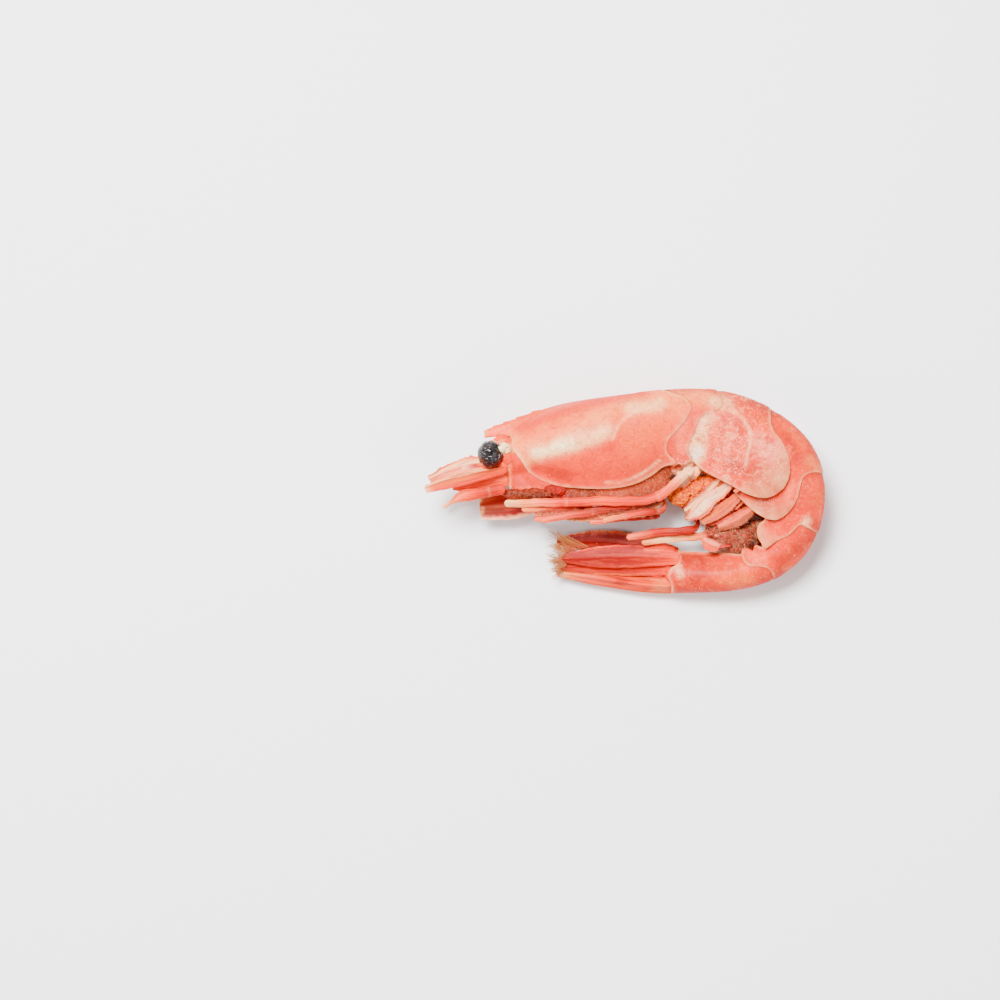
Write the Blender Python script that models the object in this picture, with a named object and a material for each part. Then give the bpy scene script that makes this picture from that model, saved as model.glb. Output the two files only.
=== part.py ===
"""A whole cooked northern prawn, head on and shell on, lying curled on its right side.

Lengths are millimetres, turned into metres where a shape becomes an object.
Seen from above, the head is at -X, the back bows to +Y and +X, and the tail comes back to -X.
The body's own left and right are +Z and -Z of its middle plane.
"""

import random
from math import cos, pi, sin

import bmesh
import bpy
import numpy as np
from mathutils import Vector
from mathutils.geometry import delaunay_2d_cdt

for obj in list(bpy.data.objects):
    bpy.data.objects.remove(obj)
pieces = bpy.data.collections.new("prawn")
cutters = bpy.data.collections.new("cutters")
cutters.hide_render = True
bpy.context.scene.collection.children.link(pieces)
bpy.context.scene.collection.children.link(cutters)

MM = 0.001
GAP = 0.3
THINNEST = 0.3
SPACING = 1.1
EDGE_SPACING = 0.9
EDGE_CROWDING = 1.4
SHALLOWEST = 0.22

# The back line: headings in degrees at lengths along the back, from the broken tip of the rostrum
BACK_START = (-19.45, 8.32)
BACK_LENGTHS = (0, 5, 14, 25, 31, 38, 45, 52, 60, 68, 75, 83, 90, 99.5)
BACK_HEADINGS = (19, 21, 9, 5, -4, -24, -44, -78, -109, -148, -173, -181, -190, -187)
BACK_STEP = 0.1

# Where each plate ends on the back
CARAPACE_END = 24.9
SEGMENT_ENDS = (32.6, 40.2, 52.1, 60.4, 69.3, 83.3)
TELSON_END = 99.2
WHOLE_BACK = (0, TELSON_END)
BELLY_REACH = (28, 66)

# The body's section at lengths along the back
SECTION_LENGTHS = (0, 4, 8, 14, 20, 25, 31, 38, 45, 52, 60, 68, 75, 83)
HALF_WIDTHS = (2.6, 3.6, 4.8, 5.9, 6.35, 6.2, 6.0, 6.25, 5.95, 5.5, 4.9, 4.2, 3.6, 2.9)
ROUNDED_DEPTHS = (3.0, 3.6, 4.6, 5.2, 5.4, 5.4, 5.2, 5.2, 4.8, 4.4, 3.8, 3.3, 2.8, 2.7)
WHOLE_DEPTHS = (5.0, 6.0, 9.5, 12.0, 12.8, 12.2, 11.0, 12.8, 12.5, 11.0, 9.6, 7.6, 5.6, 5.5)
WIDTH_LEFT_BELOW = (0.7, 0.7, 0.72, 0.76, 0.78, 0.8, 0.85, 0.86, 0.86, 0.8, 0.75, 0.5, 0.3, 0.3)

# The rostrum's blade, which runs back as a low keel
KEEL_LENGTHS = (0, 3.6, 6, 10, 14, 100)
KEEL_DEPTHS = (1.7, 1.4, 0.9, 0.3, 0.0, 0.0)
KEEL_HALF_WIDTHS = (0.5, 0.6, 0.6, 0.5, 0.3, 0.0)
TEETH = (1.4, 2.9, 4.8, 7.0)
TOOTH_HEIGHT = 0.5
TOOTH_LENGTH = 1.2

# The middle plane's height over the floor, which sinks towards the tail
MIDDLE = 6.2
TAIL_DROP = 4.1
DROP_FROM, DROP_TO = 46, 94

# Edges between the plates, from the back down to the belly
REAR_OF_CARAPACE = [(4.7, 13.8), (6.2, 13.3), (7.8, 12.6), (8.6, 11.3), (8.0, 9.9), (6.6, 8.1),
                    (5.4, 6.6), (5.3, 5.4), (6.7, 3.8)]
REAR_OF_1 = [(12.4, 13.7), (12.8, 12.1), (12.7, 11.4), (11.8, 10.9), (10.6, 10.4), (9.7, 9.7),
             (9.2, 8.4), (8.4, 6.6), (8.15, 5.6), (8.75, 4.2)]
REAR_OF_2 = [(19.5, 11.3), (19.4, 9.0), (19.7, 8.1), (20.6, 7.0), (21.4, 5.4), (21.9, 3.4),
             (21.7, 1.6), (21.1, 0.4)]
REAR_OF_3 = [(26.9, 2.2), (26.0, 2.5), (24.7, 2.4), (23.8, 1.9), (23.4, 0.7), (23.0, -1.0),
             (22.4, -2.2), (21.4, -3.3), (20.1, -3.95), (19.0, -3.8)]
REAR_OF_4 = [(26.0, -5.8), (24.6, -5.0), (23.5, -4.6), (22.7, -5.3), (22.0, -6.0), (20.7, -6.6),
             (19.6, -7.4), (18.9, -7.9)]
REAR_OF_5 = [(20.3, -12.2), (19.9, -11.2), (19.2, -10.5), (18.2, -10.3), (16.8, -10.2),
             (16.1, -9.6), (15.9, -8.7)]
REAR_OF_6 = [(6.5, -14.0), (6.4, -12.9), (5.9, -11.6), (6.5, -10.5), (7.3, -10.0), (7.5, -9.1),
             (7.2, -8.2)]

# Free lower edges, from front to rear
UNDER_ROSTRUM = [(-19.35, 7.25), (-17.6, 7.45), (-15.9, 7.5)]
FRONT_OF_CARAPACE = [(-15.5, 6.85), (-15.75, 6.2), (-15.4, 5.5), (-14.9, 4.9), (-14.3, 4.1),
                     (-13.75, 3.2), (-13.1, 2.3)]
UNDER_CARAPACE = [(-11.6, 1.45), (-9.5, 0.75), (-6.0, 0.35), (-2.6, 0.3), (1.2, 1.0), (3.5, 2.2),
                  (5.0, 3.3), (6.5, 3.6)]
UNDER_2 = [(8.75, 4.2), (10.3, 2.75), (12.1, 1.8), (13.9, 0.85), (15.4, 0.0), (16.8, -0.6),
           (18.6, -0.95), (20.0, -0.5), (21.1, 0.4)]
UNDER_3 = [(14.9, -0.5), (16.4, -1.95), (17.8, -3.1), (19.0, -3.8)]
UNDER_4 = [(19.0, -3.8), (18.0, -4.8), (17.9, -5.9), (18.9, -7.9)]
UNDER_5 = [(18.9, -7.9), (17.4, -7.3), (16.2, -7.6), (15.9, -8.7)]
UNDER_6 = [(15.9, -8.7), (13.6, -8.5), (10.2, -8.4), (7.2, -8.2)]
HEAD_FRONT = [(-16.1, 5.3), (-16.3, 4.6), (-16.8, 3.3), (-16.6, 1.8), (-15.8, 0.3)]
HEAD_REAR = [(-15.65, 5.2), (-14.9, 4.2), (-13.7, 2.65), (-12.4, 1.4), (-10.4, 0.6)]
UNDER_HEAD = [(-15.8, 0.3), (-13.0, -0.1), (-10.4, -0.2)]
THORAX_TOP = [(-9.9, 0.4), (-6.0, 0.0), (-2.6, -0.05), (1.3, 0.65), (3.6, 1.85), (5.1, 2.95)]
THORAX_FLOOR = [(-9.9, -0.5), (-6.0, -0.9), (-2.0, -1.0), (2.0, -0.8), (4.6, 0.2), (6.0, 1.7)]

# The belly channel between the side flaps
FLAP_THICKNESS = 0.8
CHANNEL_ROOF = [(6.4, 6.0), (9.0, 6.3), (11.0, 4.9), (13.3, 3.4), (15.3, 2.2), (17.4, 1.3),
                (19.0, 0.3), (19.9, -1.4), (20.4, -3.2), (20.3, -5.0), (19.6, -6.4), (18.4, -8.6)]
CHANNEL_MOUTH = [(5.6, 2.4), (8.0, 2.2), (9.8, 0.9), (11.4, 0.0), (13.2, -1.2), (14.0, -2.4),
                 (15.4, -3.6), (16.4, -4.4), (16.6, -5.2), (16.4, -6.0), (16.0, -6.6), (15.2, -7.2)]

PLEOPOD_INSETS = (1.25, 1.1, 1.4, 1.6, 1.25)

# Eyes and the pieces of the head, by their places beside the middle plane
EYE_RADIUS = 1.78
EYE_CENTRE = (-18.5, 5.04)
EYE_OFFSET = 2.95
STALK_ROOT = (-16.2, 6.5)
STALK_ROOT_OFFSET = 0.8
STALK_RADII = (0.55, 0.75)

ROE_COLOUR = (0.85, 0.3, 0.06)
SHELL_COLOUR = (0.85, 0.36, 0.24)
LEG_COLOUR = (0.78, 0.27, 0.19)
TAIL_COLOUR = (0.7, 0.1, 0.09)
EYE_COLOUR = (0.02, 0.018, 0.018)

# Moves the whole prawn so that its box is centred over the origin
CENTRING = (0.2, 0.035, 0.0)
body = bpy.data.objects.new("body", None)
body.location = [move * MM for move in CENTRING]
pieces.objects.link(body)


def smooth(knots, values, at):
    """Cubic curve through the values at the knots, read at the given places."""
    knots = np.asarray(knots, float)
    values = np.asarray(values, float).reshape(len(knots), -1)
    slopes = np.gradient(values, knots, axis=0)
    at = np.clip(np.asarray(at, float), knots[0], knots[-1])
    low = np.clip(np.searchsorted(knots, at, side="right") - 1, 0, len(knots) - 2)
    span = (knots[low + 1] - knots[low])[..., None]
    t = (at - knots[low])[..., None] / span
    start, end = values[low], values[low + 1]
    rise = slopes[low] * span * t * (1 - t) ** 2 - slopes[low + 1] * span * t**2 * (1 - t)
    return start + (end - start) * (3 - 2 * t) * t**2 + rise


def measure(lengths, values, at):
    return smooth(lengths, values, at)[..., 0]


def chord_lengths(points):
    steps = np.linalg.norm(np.diff(points, axis=0), axis=1)
    return np.concatenate([[0], np.cumsum(steps)])


def edge(points, spacing=SPACING, crowding=1.0):
    """Points on a smooth curve through the given ones, crowded towards the start above 1."""
    points = np.asarray(points, float)
    lengths = chord_lengths(points)
    count = max(3, round(lengths[-1] / spacing) + 1)
    return smooth(lengths, points, lengths[-1] * np.linspace(0, 1, count) ** crowding)


def back_line():
    """Lengths, points and inward directions along the back."""
    lengths = np.arange(0, BACK_LENGTHS[-1] + BACK_STEP / 2, BACK_STEP)
    headings = np.radians(measure(BACK_LENGTHS, BACK_HEADINGS, lengths + BACK_STEP / 2))
    steps = np.stack([np.cos(headings), np.sin(headings)], 1) * BACK_STEP
    points = np.vstack([BACK_START, BACK_START + np.cumsum(steps[:-1], 0)])
    inward = np.stack([np.sin(headings), -np.cos(headings)], 1)
    return lengths, points, inward


LENGTHS, BACK, INWARD = back_line()


def along_back(lengths):
    """Points on the back at the given lengths."""
    return np.stack([np.interp(lengths, LENGTHS, BACK[:, k]) for k in (0, 1)], -1)


def inward_at(lengths):
    """Directions from the back towards the belly at the given lengths."""
    return np.stack([np.interp(lengths, LENGTHS, INWARD[:, k]) for k in (0, 1)], -1)


def from_back(points, reach=WHOLE_BACK):
    """Each point's length along the back and its depth below it, over a stretch of the back."""
    near = (LENGTHS >= reach[0]) & (LENGTHS <= reach[1])
    apart = np.linalg.norm(points[..., None, :] - BACK[near], axis=-1)
    return LENGTHS[near][apart.argmin(-1)], apart.min(-1)


def middle(lengths):
    """Height of the body's middle plane."""
    t = np.clip((lengths - DROP_FROM) / (DROP_TO - DROP_FROM), 0, 1)
    return MIDDLE - TAIL_DROP * t * t * (3 - 2 * t)


def half_width(points, reach=WHOLE_BACK):
    """Half the body's thickness over each point of its side view."""
    lengths, depths = from_back(points, reach)
    keel = measure(KEEL_LENGTHS, KEEL_HALF_WIDTHS, lengths) * np.sqrt(np.clip(depths / 0.5, 0, 1))
    depths = np.clip(depths - measure(KEEL_LENGTHS, KEEL_DEPTHS, lengths), 0, None)
    rounded = measure(SECTION_LENGTHS, ROUNDED_DEPTHS, lengths)
    whole = measure(SECTION_LENGTHS, WHOLE_DEPTHS, lengths)
    left_below = measure(SECTION_LENGTHS, WIDTH_LEFT_BELOW, lengths)
    dome = np.sqrt(1 - (1 - np.clip(depths / rounded, 0, 1)) ** 2)
    fall = np.clip((depths - rounded) / (whole - rounded), 0, 1.1)
    body = measure(SECTION_LENGTHS, HALF_WIDTHS, lengths) * (dome - (1 - left_below) * fall**2)
    return np.hypot(body, keel)


def pulled_in(points, amount):
    """The curve moved sideways, to its left as it runs."""
    ahead = np.gradient(points, axis=0)
    ahead /= np.linalg.norm(ahead, axis=1)[:, None]
    return points + amount * np.stack([-ahead[:, 1], ahead[:, 0]], 1)


def plate_edge(points, amount):
    """An edge between two plates, crowded towards the back, where it starts, and moved sideways."""
    line = pulled_in(edge(points, EDGE_SPACING, EDGE_CROWDING), amount)
    start, depths = from_back(line)
    return np.vstack([along_back(start[:1]), line[1:][depths[1:] > SHALLOWEST]])


def stations(start, end, spacing):
    """Lengths along the back at whole steps, with the two ends."""
    steps = np.arange(np.ceil(start / spacing), end / spacing) * spacing
    steps = steps[(steps > start + 0.4 * spacing) & (steps < end - 0.4 * spacing)]
    return np.concatenate([[start], steps, [end]])


def distance(points, line):
    """Each point's distance to a broken line."""
    start, end = line[:-1], line[1:]
    along = end - start
    offset = points[:, None] - start
    share = (offset * along).sum(2) / np.maximum((along**2).sum(1), 1e-9)
    nearest = start + along * np.clip(share, 0, 1)[..., None]
    return np.linalg.norm(points[:, None] - nearest, axis=2).min(1)


def inside(points, outline):
    """Which points lie inside a closed outline, by counting its crossings."""
    x, y = points[:, 0, None], points[:, 1, None]
    start, end = outline, np.roll(outline, -1, axis=0)
    spans = (start[:, 1] > y) != (end[:, 1] > y)
    rise = np.where(end[:, 1] == start[:, 1], 1, end[:, 1] - start[:, 1])
    crossing = start[:, 0] + (y - start[:, 1]) * (end[:, 0] - start[:, 0]) / rise
    return (spans & (x < crossing)).sum(1) % 2 == 1


def lattice(outline, spacing, reach):
    """Points inside an outline, in rows below the back that are closest where the body rounds over."""
    lengths = stations(*reach, spacing)[1:-1]
    rounded = measure(SECTION_LENGTHS, ROUNDED_DEPTHS, lengths)
    rings = round(4.2 / spacing) + 1
    levels = [(1 - cos(k * pi / 2 / rings), 0) for k in range(1, rings + 1)]
    levels += [(1, k * spacing) for k in range(1, int(9 / spacing))]
    rows = [along_back(lengths) + inward_at(lengths) * (rounded * share + more)[:, None]
            for share, more in levels]
    points = np.vstack(rows)
    reached = np.concatenate([rounded * share + more for share, more in levels])
    depths = from_back(points, reach)[1]
    room = spacing * np.clip(0.12 + 0.12 * depths, 0, 0.5)
    kept = inside(points, outline) & (depths > reached - 0.2)
    kept[kept] = distance(points[kept], np.vstack([outline, outline[:1]])) > room[kept]
    return points[kept]


def paint(obj, colour, roughness):
    material = bpy.data.materials.new(obj.name)
    material.use_nodes = True
    shader = material.node_tree.nodes["Principled BSDF"]
    shader.inputs["Base Color"].default_value = (*colour, 1)
    shader.inputs["Roughness"].default_value = roughness
    shader.inputs["Metallic"].default_value = 0
    obj.data.materials.append(material)


def placed(name, data, at, colour, roughness=0.4):
    """New object of the prawn, at a place given in millimetres."""
    obj = bpy.data.objects.new(name, data)
    obj.location = np.array(at) * MM
    obj.parent = body
    pieces.objects.link(obj)
    paint(obj, colour, roughness)
    return obj


def from_faces(name, points, faces, at, colour, roughness=0.4):
    """New object from points in millimetres, with its faces turned outwards."""
    mesh = bpy.data.meshes.new(name)
    mesh.from_pydata(((np.asarray(points) - at) * MM).tolist(), [], faces)
    work = bmesh.new()
    work.from_mesh(mesh)
    bmesh.ops.triangulate(work, faces=work.faces)
    bmesh.ops.recalc_face_normals(work, faces=work.faces)
    work.to_mesh(mesh)
    work.free()
    mesh.shade_smooth()
    return placed(name, mesh, at, colour, roughness)


def plate(name, back, rim, colour, reach, share=1.0, less=0.0, lifts=(), spacing=SPACING):
    """Solid plate over an outline of the side view, walled along its rim and closed along the back.

    It follows the stretch of the back that its reach gives. Its half thickness is a share of the
    body's, less a constant, and each lift is a line with the extra half thickness beside it.
    """
    outline = np.vstack([back, rim])
    points = np.vstack([outline, lattice(outline, spacing, reach)])
    rim_edges = [(k, (k + 1) % len(outline)) for k in range(len(outline))]
    flat, _, faces, sources, _, _ = delaunay_2d_cdt(
        [Vector(point) for point in points], rim_edges, [], 1, 1e-4)
    flat = np.array([tuple(point) for point in flat])
    at_input = [min(source) if source else -1 for source in sources]
    width = share * half_width(flat, reach) - less
    for line, lift in lifts:
        width += lift * np.exp(-(distance(flat, line) ** 2))
    on_back = np.array([0 <= source < len(back) for source in at_input])
    width = np.where(on_back, 0, np.maximum(width, THINNEST / 2))
    faces = [face for face in faces if not on_back[face].all()]
    centre = middle(from_back(flat, reach)[0])
    left = np.column_stack([flat, centre + width])
    right = np.column_stack([flat, np.maximum(centre - width, 0)])
    count = len(flat)
    under = [k if on_back[k] else count + k for k in range(count)]
    solid = [tuple(face) for face in faces]
    solid += [tuple(under[k] for k in face[::-1]) for face in faces]
    place_of = {source: k for k, source in enumerate(at_input) if 0 <= source < len(outline)}
    for a, b in rim_edges:
        a, b = place_of[a], place_of[b]
        corners = tuple(dict.fromkeys((a, b, under[b], under[a])))
        if len(corners) > 2:
            solid.append(corners)
    every = np.vstack([left, right])
    used = sorted({k for face in solid for k in face})
    renumbered = {k: place for place, k in enumerate(used)}
    solid = [tuple(renumbered[k] for k in face) for face in solid]
    return from_faces(name, every[used], solid, every[used][0], colour)


def carapace():
    """Head shield with the rostrum's toothed blade in front."""
    between = [length for length in stations(0, CARAPACE_END, SPACING)
               if np.abs(length - np.array(TEETH)).min() > 0.4]
    lengths = np.sort(np.concatenate([between, TEETH, np.add(TEETH, -0.15)]))
    sharp = lengths > TEETH[-1] + TOOTH_LENGTH
    spike = np.zeros(len(lengths))
    for tooth in TEETH:
        behind = lengths - tooth
        spike = np.maximum(spike, np.where(behind >= 0, 1 - behind / TOOTH_LENGTH, 0))
    back = along_back(lengths) - inward_at(lengths) * (TOOTH_HEIGHT * spike)[:, None]
    rear = plate_edge(REAR_OF_CARAPACE, -GAP / 2)
    back[-1] = rear[0]
    under = edge(UNDER_CARAPACE)
    under[-1] = rear[-1]
    front = edge(FRONT_OF_CARAPACE, 0.8)
    blade_floor = edge(UNDER_ROSTRUM, 0.8)
    rim = np.vstack([rear[1:], under[-2::-1], front[-2::-1], blade_floor[::-1], back[~sharp]])
    plate("carapace", back[sharp], rim, SHELL_COLOUR, (0, CARAPACE_END + 4), lifts=[(rear, 0.12)])


def segment(number, front_points, rear_points, under_points, front_lift, rear_lift):
    """One ring of the abdomen with its side flaps."""
    starts = (CARAPACE_END, *SEGMENT_ENDS)
    front = plate_edge(front_points, GAP / 2)
    rear = plate_edge(rear_points, -GAP / 2)
    back = along_back(stations(starts[number - 1], starts[number], SPACING))
    back[0], back[-1] = front[0], rear[0]
    under = edge(under_points)
    under[0], under[-1] = front[-1], rear[-1]
    rim = np.vstack([rear[1:], under[-2:0:-1], front[:0:-1]])
    reach = (starts[number - 1] - 4, starts[number] + 4)
    plate(f"abdomen_{number}", back, rim, SHELL_COLOUR, reach,
          lifts=[(front, front_lift), (rear, rear_lift)])


def abdomen():
    under_1 = [REAR_OF_CARAPACE[-1], (7.6, 3.5), REAR_OF_1[-1]]
    front_of_3 = REAR_OF_2 + UNDER_2[-2:3:-1] + UNDER_3[:1]
    segment(1, REAR_OF_CARAPACE, REAR_OF_1, under_1, -0.15, -0.2)
    segment(2, REAR_OF_1, REAR_OF_2, UNDER_2, 0.15, 0.15)
    segment(3, front_of_3, REAR_OF_3, UNDER_3, -0.25, 0.15)
    segment(4, REAR_OF_3, REAR_OF_4, UNDER_4, -0.2, 0.15)
    segment(5, REAR_OF_4, REAR_OF_5, UNDER_5, -0.2, 0.15)
    segment(6, REAR_OF_5, REAR_OF_6, UNDER_6, -0.2, 0.05)


def belly_channel():
    """Cuts the open channel that runs between the left and right flaps."""
    roof, mouth = edge(CHANNEL_ROOF), edge(CHANNEL_MOUTH)
    cutter = plate("belly_cutter", roof[:0], np.vstack([roof, mouth[::-1]]), SHELL_COLOUR,
                   BELLY_REACH, less=FLAP_THICKNESS)
    pieces.objects.unlink(cutter)
    cutters.objects.link(cutter)
    cutter.hide_render = True
    cutter.display_type = "WIRE"
    for number in range(1, 6):
        channel = bpy.data.objects[f"abdomen_{number}"].modifiers.new("belly channel", "BOOLEAN")
        channel.operation = "DIFFERENCE"
        channel.solver = "EXACT"
        channel.object = cutter


def head_block():
    """Solid base of the antennae, in front of the carapace."""
    front, rear = edge(HEAD_FRONT), pulled_in(edge(HEAD_REAR), -GAP / 2)
    under = edge(UNDER_HEAD)
    rim = np.vstack([rear, under[::-1], front[-2:0:-1]])
    plate("head", front[:1], rim, SHELL_COLOUR, (0, CARAPACE_END), share=0.9)


def thorax():
    """Narrow underside between the legs, set in below the carapace's lower edge."""
    top, floor = edge(THORAX_TOP), edge(THORAX_FLOOR)
    outline = np.vstack([top, floor[::-1]])
    plate("thorax", top[:0], outline, LEG_COLOUR, (0, SEGMENT_ENDS[0]), share=0.68)


def blade(name, path, half_widths, half_thickness, facing, colour, stations=9, sides=8):
    """Flat leaf along a path, whose width lies along the facing direction."""
    path = np.asarray(path, float)
    run = chord_lengths(path)
    at = np.linspace(0, run[-1], stations)
    centres = smooth(run, path, at)
    widths = measure(np.linspace(0, run[-1], len(half_widths)), half_widths, at)
    ahead = np.gradient(centres, axis=0)
    ahead /= np.linalg.norm(ahead, axis=1)[:, None]
    facing = np.asarray(facing, float) - ahead * (ahead @ np.asarray(facing, float))[:, None]
    facing /= np.linalg.norm(facing, axis=1)[:, None]
    normal = np.cross(ahead, facing)
    points, faces = [], []
    for k in range(stations):
        thick = min(half_thickness, widths[k])
        for turn in np.arange(sides) * 2 * pi / sides:
            points.append(centres[k] + facing[k] * widths[k] * cos(turn) + normal[k] * thick * sin(turn))
    for k in range(stations - 1):
        for j in range(sides):
            a, b = k * sides + j, k * sides + (j + 1) % sides
            faces.append((a, b, b + sides, a + sides))
    faces.append(tuple(range(sides))[::-1])
    faces.append(tuple(range((stations - 1) * sides, stations * sides)))
    return from_faces(name, points, faces, path[0], colour)


def limb(name, stops, colour, spacing=1.3):
    """Round tapering limb through stops of place and radius, with soft knees."""
    stops = np.asarray(stops, float)
    run = chord_lengths(stops[:, :3])
    count = max(3, int(run[-1] / spacing) + 1)
    values = smooth(run, stops, np.linspace(0, run[-1], count))
    curve = bpy.data.curves.new(name, "CURVE")
    curve.dimensions = "3D"
    curve.bevel_depth = MM
    curve.bevel_resolution = 1
    curve.use_fill_caps = True
    line = curve.splines.new("POLY")
    line.points.add(count - 1)
    for point, value in zip(line.points, values):
        point.co = (*((value[:3] - stops[0, :3]) * MM), 1)
        point.radius = value[3]
    return placed(name, curve, stops[0, :3], colour)


def both_sides(build, name, *shapes):
    """Builds a piece on the left and its partner on the right of the middle plane."""
    for side, sign in (("left", 1), ("right", -1)):
        build(name.format(side), sign, *shapes)


def eye(name, sign):
    centre = (*EYE_CENTRE, MIDDLE + sign * EYE_OFFSET)
    bpy.ops.mesh.primitive_uv_sphere_add(segments=16, ring_count=10, radius=EYE_RADIUS * MM)
    ball = bpy.context.object
    mesh = ball.data
    bpy.data.objects.remove(ball)
    mesh.shade_smooth()
    placed(name, mesh, centre, EYE_COLOUR, 0.2)


def eyestalk(name, sign):
    root = np.array([*STALK_ROOT, MIDDLE + sign * STALK_ROOT_OFFSET])
    centre = np.array([*EYE_CENTRE, MIDDLE + sign * EYE_OFFSET])
    ahead = (centre - root) / np.linalg.norm(centre - root)
    cup = centre - ahead * (EYE_RADIUS + GAP)
    limb(name, [(*root, STALK_RADII[0]), (*cup, STALK_RADII[1])], SHELL_COLOUR, 0.5)


def tail_fan():
    """Telson and the two pairs of uropods, closed like a fan."""
    lengths = np.linspace(SEGMENT_ENDS[-1] + 0.8, TELSON_END, 6)
    spine = along_back(lengths) + inward_at(lengths) * np.linspace(1.0, 0.6, 6)[:, None]
    path = np.column_stack([spine, middle(lengths)])
    blade("telson", path, (1.7, 1.5, 1.2, 0.9, 0.5), 0.75, (0, 0, 1), TAIL_COLOUR, 10)
    layers = {
        "outer": {1: ([(6.9, -9.3), (2.5, -9.0), (-2.0, -9.05), (-6.0, -9.2), (-8.6, -9.3)], 1.55),
                  -1: ([(6.8, -8.6), (2.0, -7.5), (-3.0, -6.95), (-7.0, -6.9), (-9.2, -7.1)], -1.55)},
        "inner": {1: ([(5.75, -10.5), (2.0, -10.4), (-2.0, -10.3), (-6.0, -10.3), (-9.0, -10.5)], 0.6),
                  -1: ([(6.05, -10.0), (2.0, -9.6), (-2.0, -9.3), (-6.0, -9.2), (-9.0, -9.4)], -0.6)},
    }
    spread = {"outer": (0.6, 1.1, 1.4, 1.2, 0.35), "inner": (0.5, 0.8, 1.0, 0.85, 0.3)}
    for layer, sides in layers.items():
        for sign, (line, offset) in sides.items():
            line = np.array(line)
            heights = middle(from_back(line)[0]) + offset
            side = "left" if sign > 0 else "right"
            blade(f"uropod_{side}_{layer}", np.column_stack([line, heights]), spread[layer], 0.25,
                  (0, 1, 0), TAIL_COLOUR, 10)


def antennal_scales():
    """The leaf beside each antenna: the left one points forwards, the right one hangs askew."""
    left = [(-17.3, 2.75, 2.9), (-22.0, 1.65, 3.1), (-27.3, 0.25, 3.2)]
    right = [(-10.8, -1.3, -1.2), (-15.0, -2.0, -1.3), (-19.9, -2.5, -1.4)]
    leaves = {
        "left": (left, (0.9, 1.5, 1.7, 1.6, 1.2), (0, 0.5, -0.87)),
        "right": (right, (0.7, 1.4, 1.8, 1.75, 1.5), (0, 1, 0.2)),
    }
    for side, (line, half_widths, facing) in leaves.items():
        path = [(x, y, MIDDLE + offset) for x, y, offset in line]
        blade(f"antennal_scale_{side}", path, half_widths, 0.22, facing, SHELL_COLOUR, 8)


def pleopod(name, sign, root, tip, inset):
    """Swimming leg: a flat stem from the channel, ending in a thin leaf."""
    line = np.linspace(root, tip, 5)
    room = half_width(line[:1], BELLY_REACH) - FLAP_THICKNESS - inset
    heights = middle(from_back(line[:1], BELLY_REACH)[0]) + sign * room * np.linspace(1, 0.85, 5)
    path = np.column_stack([line, heights])
    blade(name, path, (0.6, 0.7, 0.66, 0.85, 0.75, 0.3), 0.33, (0.7, 0.7, 0), LEG_COLOUR, 8)


def pleopods():
    places = [((9.6, 3.0), (6.9, 0.6)), ((14.3, 1.3), (8.4, -3.8)), ((16.5, -0.3), (11.2, -4.4)),
              ((17.9, -2.1), (12.2, -6.1)), ((18.7, -4.6), (11.9, -7.4))]
    for number, ((root, tip), inset) in enumerate(zip(places, PLEOPOD_INSETS), 1):
        for side, sign in (("left", 1), ("right", -1)):
            pleopod(f"pleopod_{side}_{number}", sign, root, tip, inset)


def limbs():
    """Feelers, jaw legs and walking legs, by place, offset from the middle plane and radius."""
    pairs = {
        "antennule": [(-17.7, 4.2, 0.75, 0.5), (-20.0, 3.7, 0.85, 0.45), (-22.4, 3.2, 0.95, 0.4)],
        "antenna": [(-16.5, 0.3, 2.6, 0.75), (-19.5, -0.3, 2.9, 0.65), (-22.9, -1.0, 3.1, 0.6),
                    (-23.6, -1.4, 3.1, 0.3), (-25.0, -2.3, 3.1, 0.25)],
        "maxilliped": [(-8.6, -1.6, 0.9, 0.55), (-7.4, -2.9, 1.5, 0.55), (-9.4, -3.6, 1.9, 0.5),
                       (-12.6, -3.9, 1.9, 0.35)],
        "leg_1": [(-4.6, -1.7, 0.8, 0.45), (-6.0, -2.1, 2.0, 0.45), (-10.0, -2.4, 2.4, 0.42),
                  (-14.2, -2.5, 2.7, 0.35)],
        "leg_2": [(-1.5, -1.7, 1.2, 0.45), (1.9, -1.9, 2.6, 0.5), (-3.0, -2.6, 3.1, 0.5),
                  (-11.6, -4.0, 3.2, 0.4)],
        "leg_3": [(1.6, -1.6, 0.8, 0.45), (4.4, -3.1, 1.5, 0.42), (-0.8, -3.8, 2.0, 0.4),
                  (-5.0, -4.3, 1.9, 0.3)],
    }
    singles = {
        "leg_4_left": [(4.9, -0.9, 0.9, 0.45), (5.2, -2.3, 2.2, 0.42), (1.5, -3.1, 3.3, 0.42),
                       (-3.2, -4.0, 3.6, 0.3)],
        "leg_4_right": [(5.9, 0.1, -1.4, 0.42), (8.3, -2.2, -2.2, 0.42), (9.9, -4.2, -1.6, 0.42),
                        (9.7, -5.0, -0.3, 0.42), (5.0, -5.65, -0.2, 0.4), (0.2, -6.35, -0.2, 0.3)],
        "leg_5_left": [(8.2, 2.6, 4.5, 0.45), (4.3, -0.7, 4.4, 0.5), (-3.5, -1.45, 4.0, 0.48),
                       (-10, -1.6, 3.6, 0.42), (-16.8, -1.7, 3.2, 0.4)],
        "leg_5_right": [(8.3, -0.3, -2.1, 0.42), (9.8, -1.8, -2.1, 0.42), (11.2, -3.9, -1.1, 0.42),
                        (11.5, -5.5, -1.0, 0.42), (7.0, -6.4, -1.1, 0.4), (2.3, -7.1, -1.1, 0.3)],
    }
    lines = {name: (1, stops) for name, stops in singles.items()}
    for name, stops in pairs.items():
        lines[f"{name}_left"] = (1, stops)
        lines[f"{name}_right"] = (-1, stops)
    for name, (sign, stops) in lines.items():
        turned = [(x, y, MIDDLE + sign * offset, radius) for x, y, offset, radius in stops]
        limb(name, turned, LEG_COLOUR)


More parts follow.
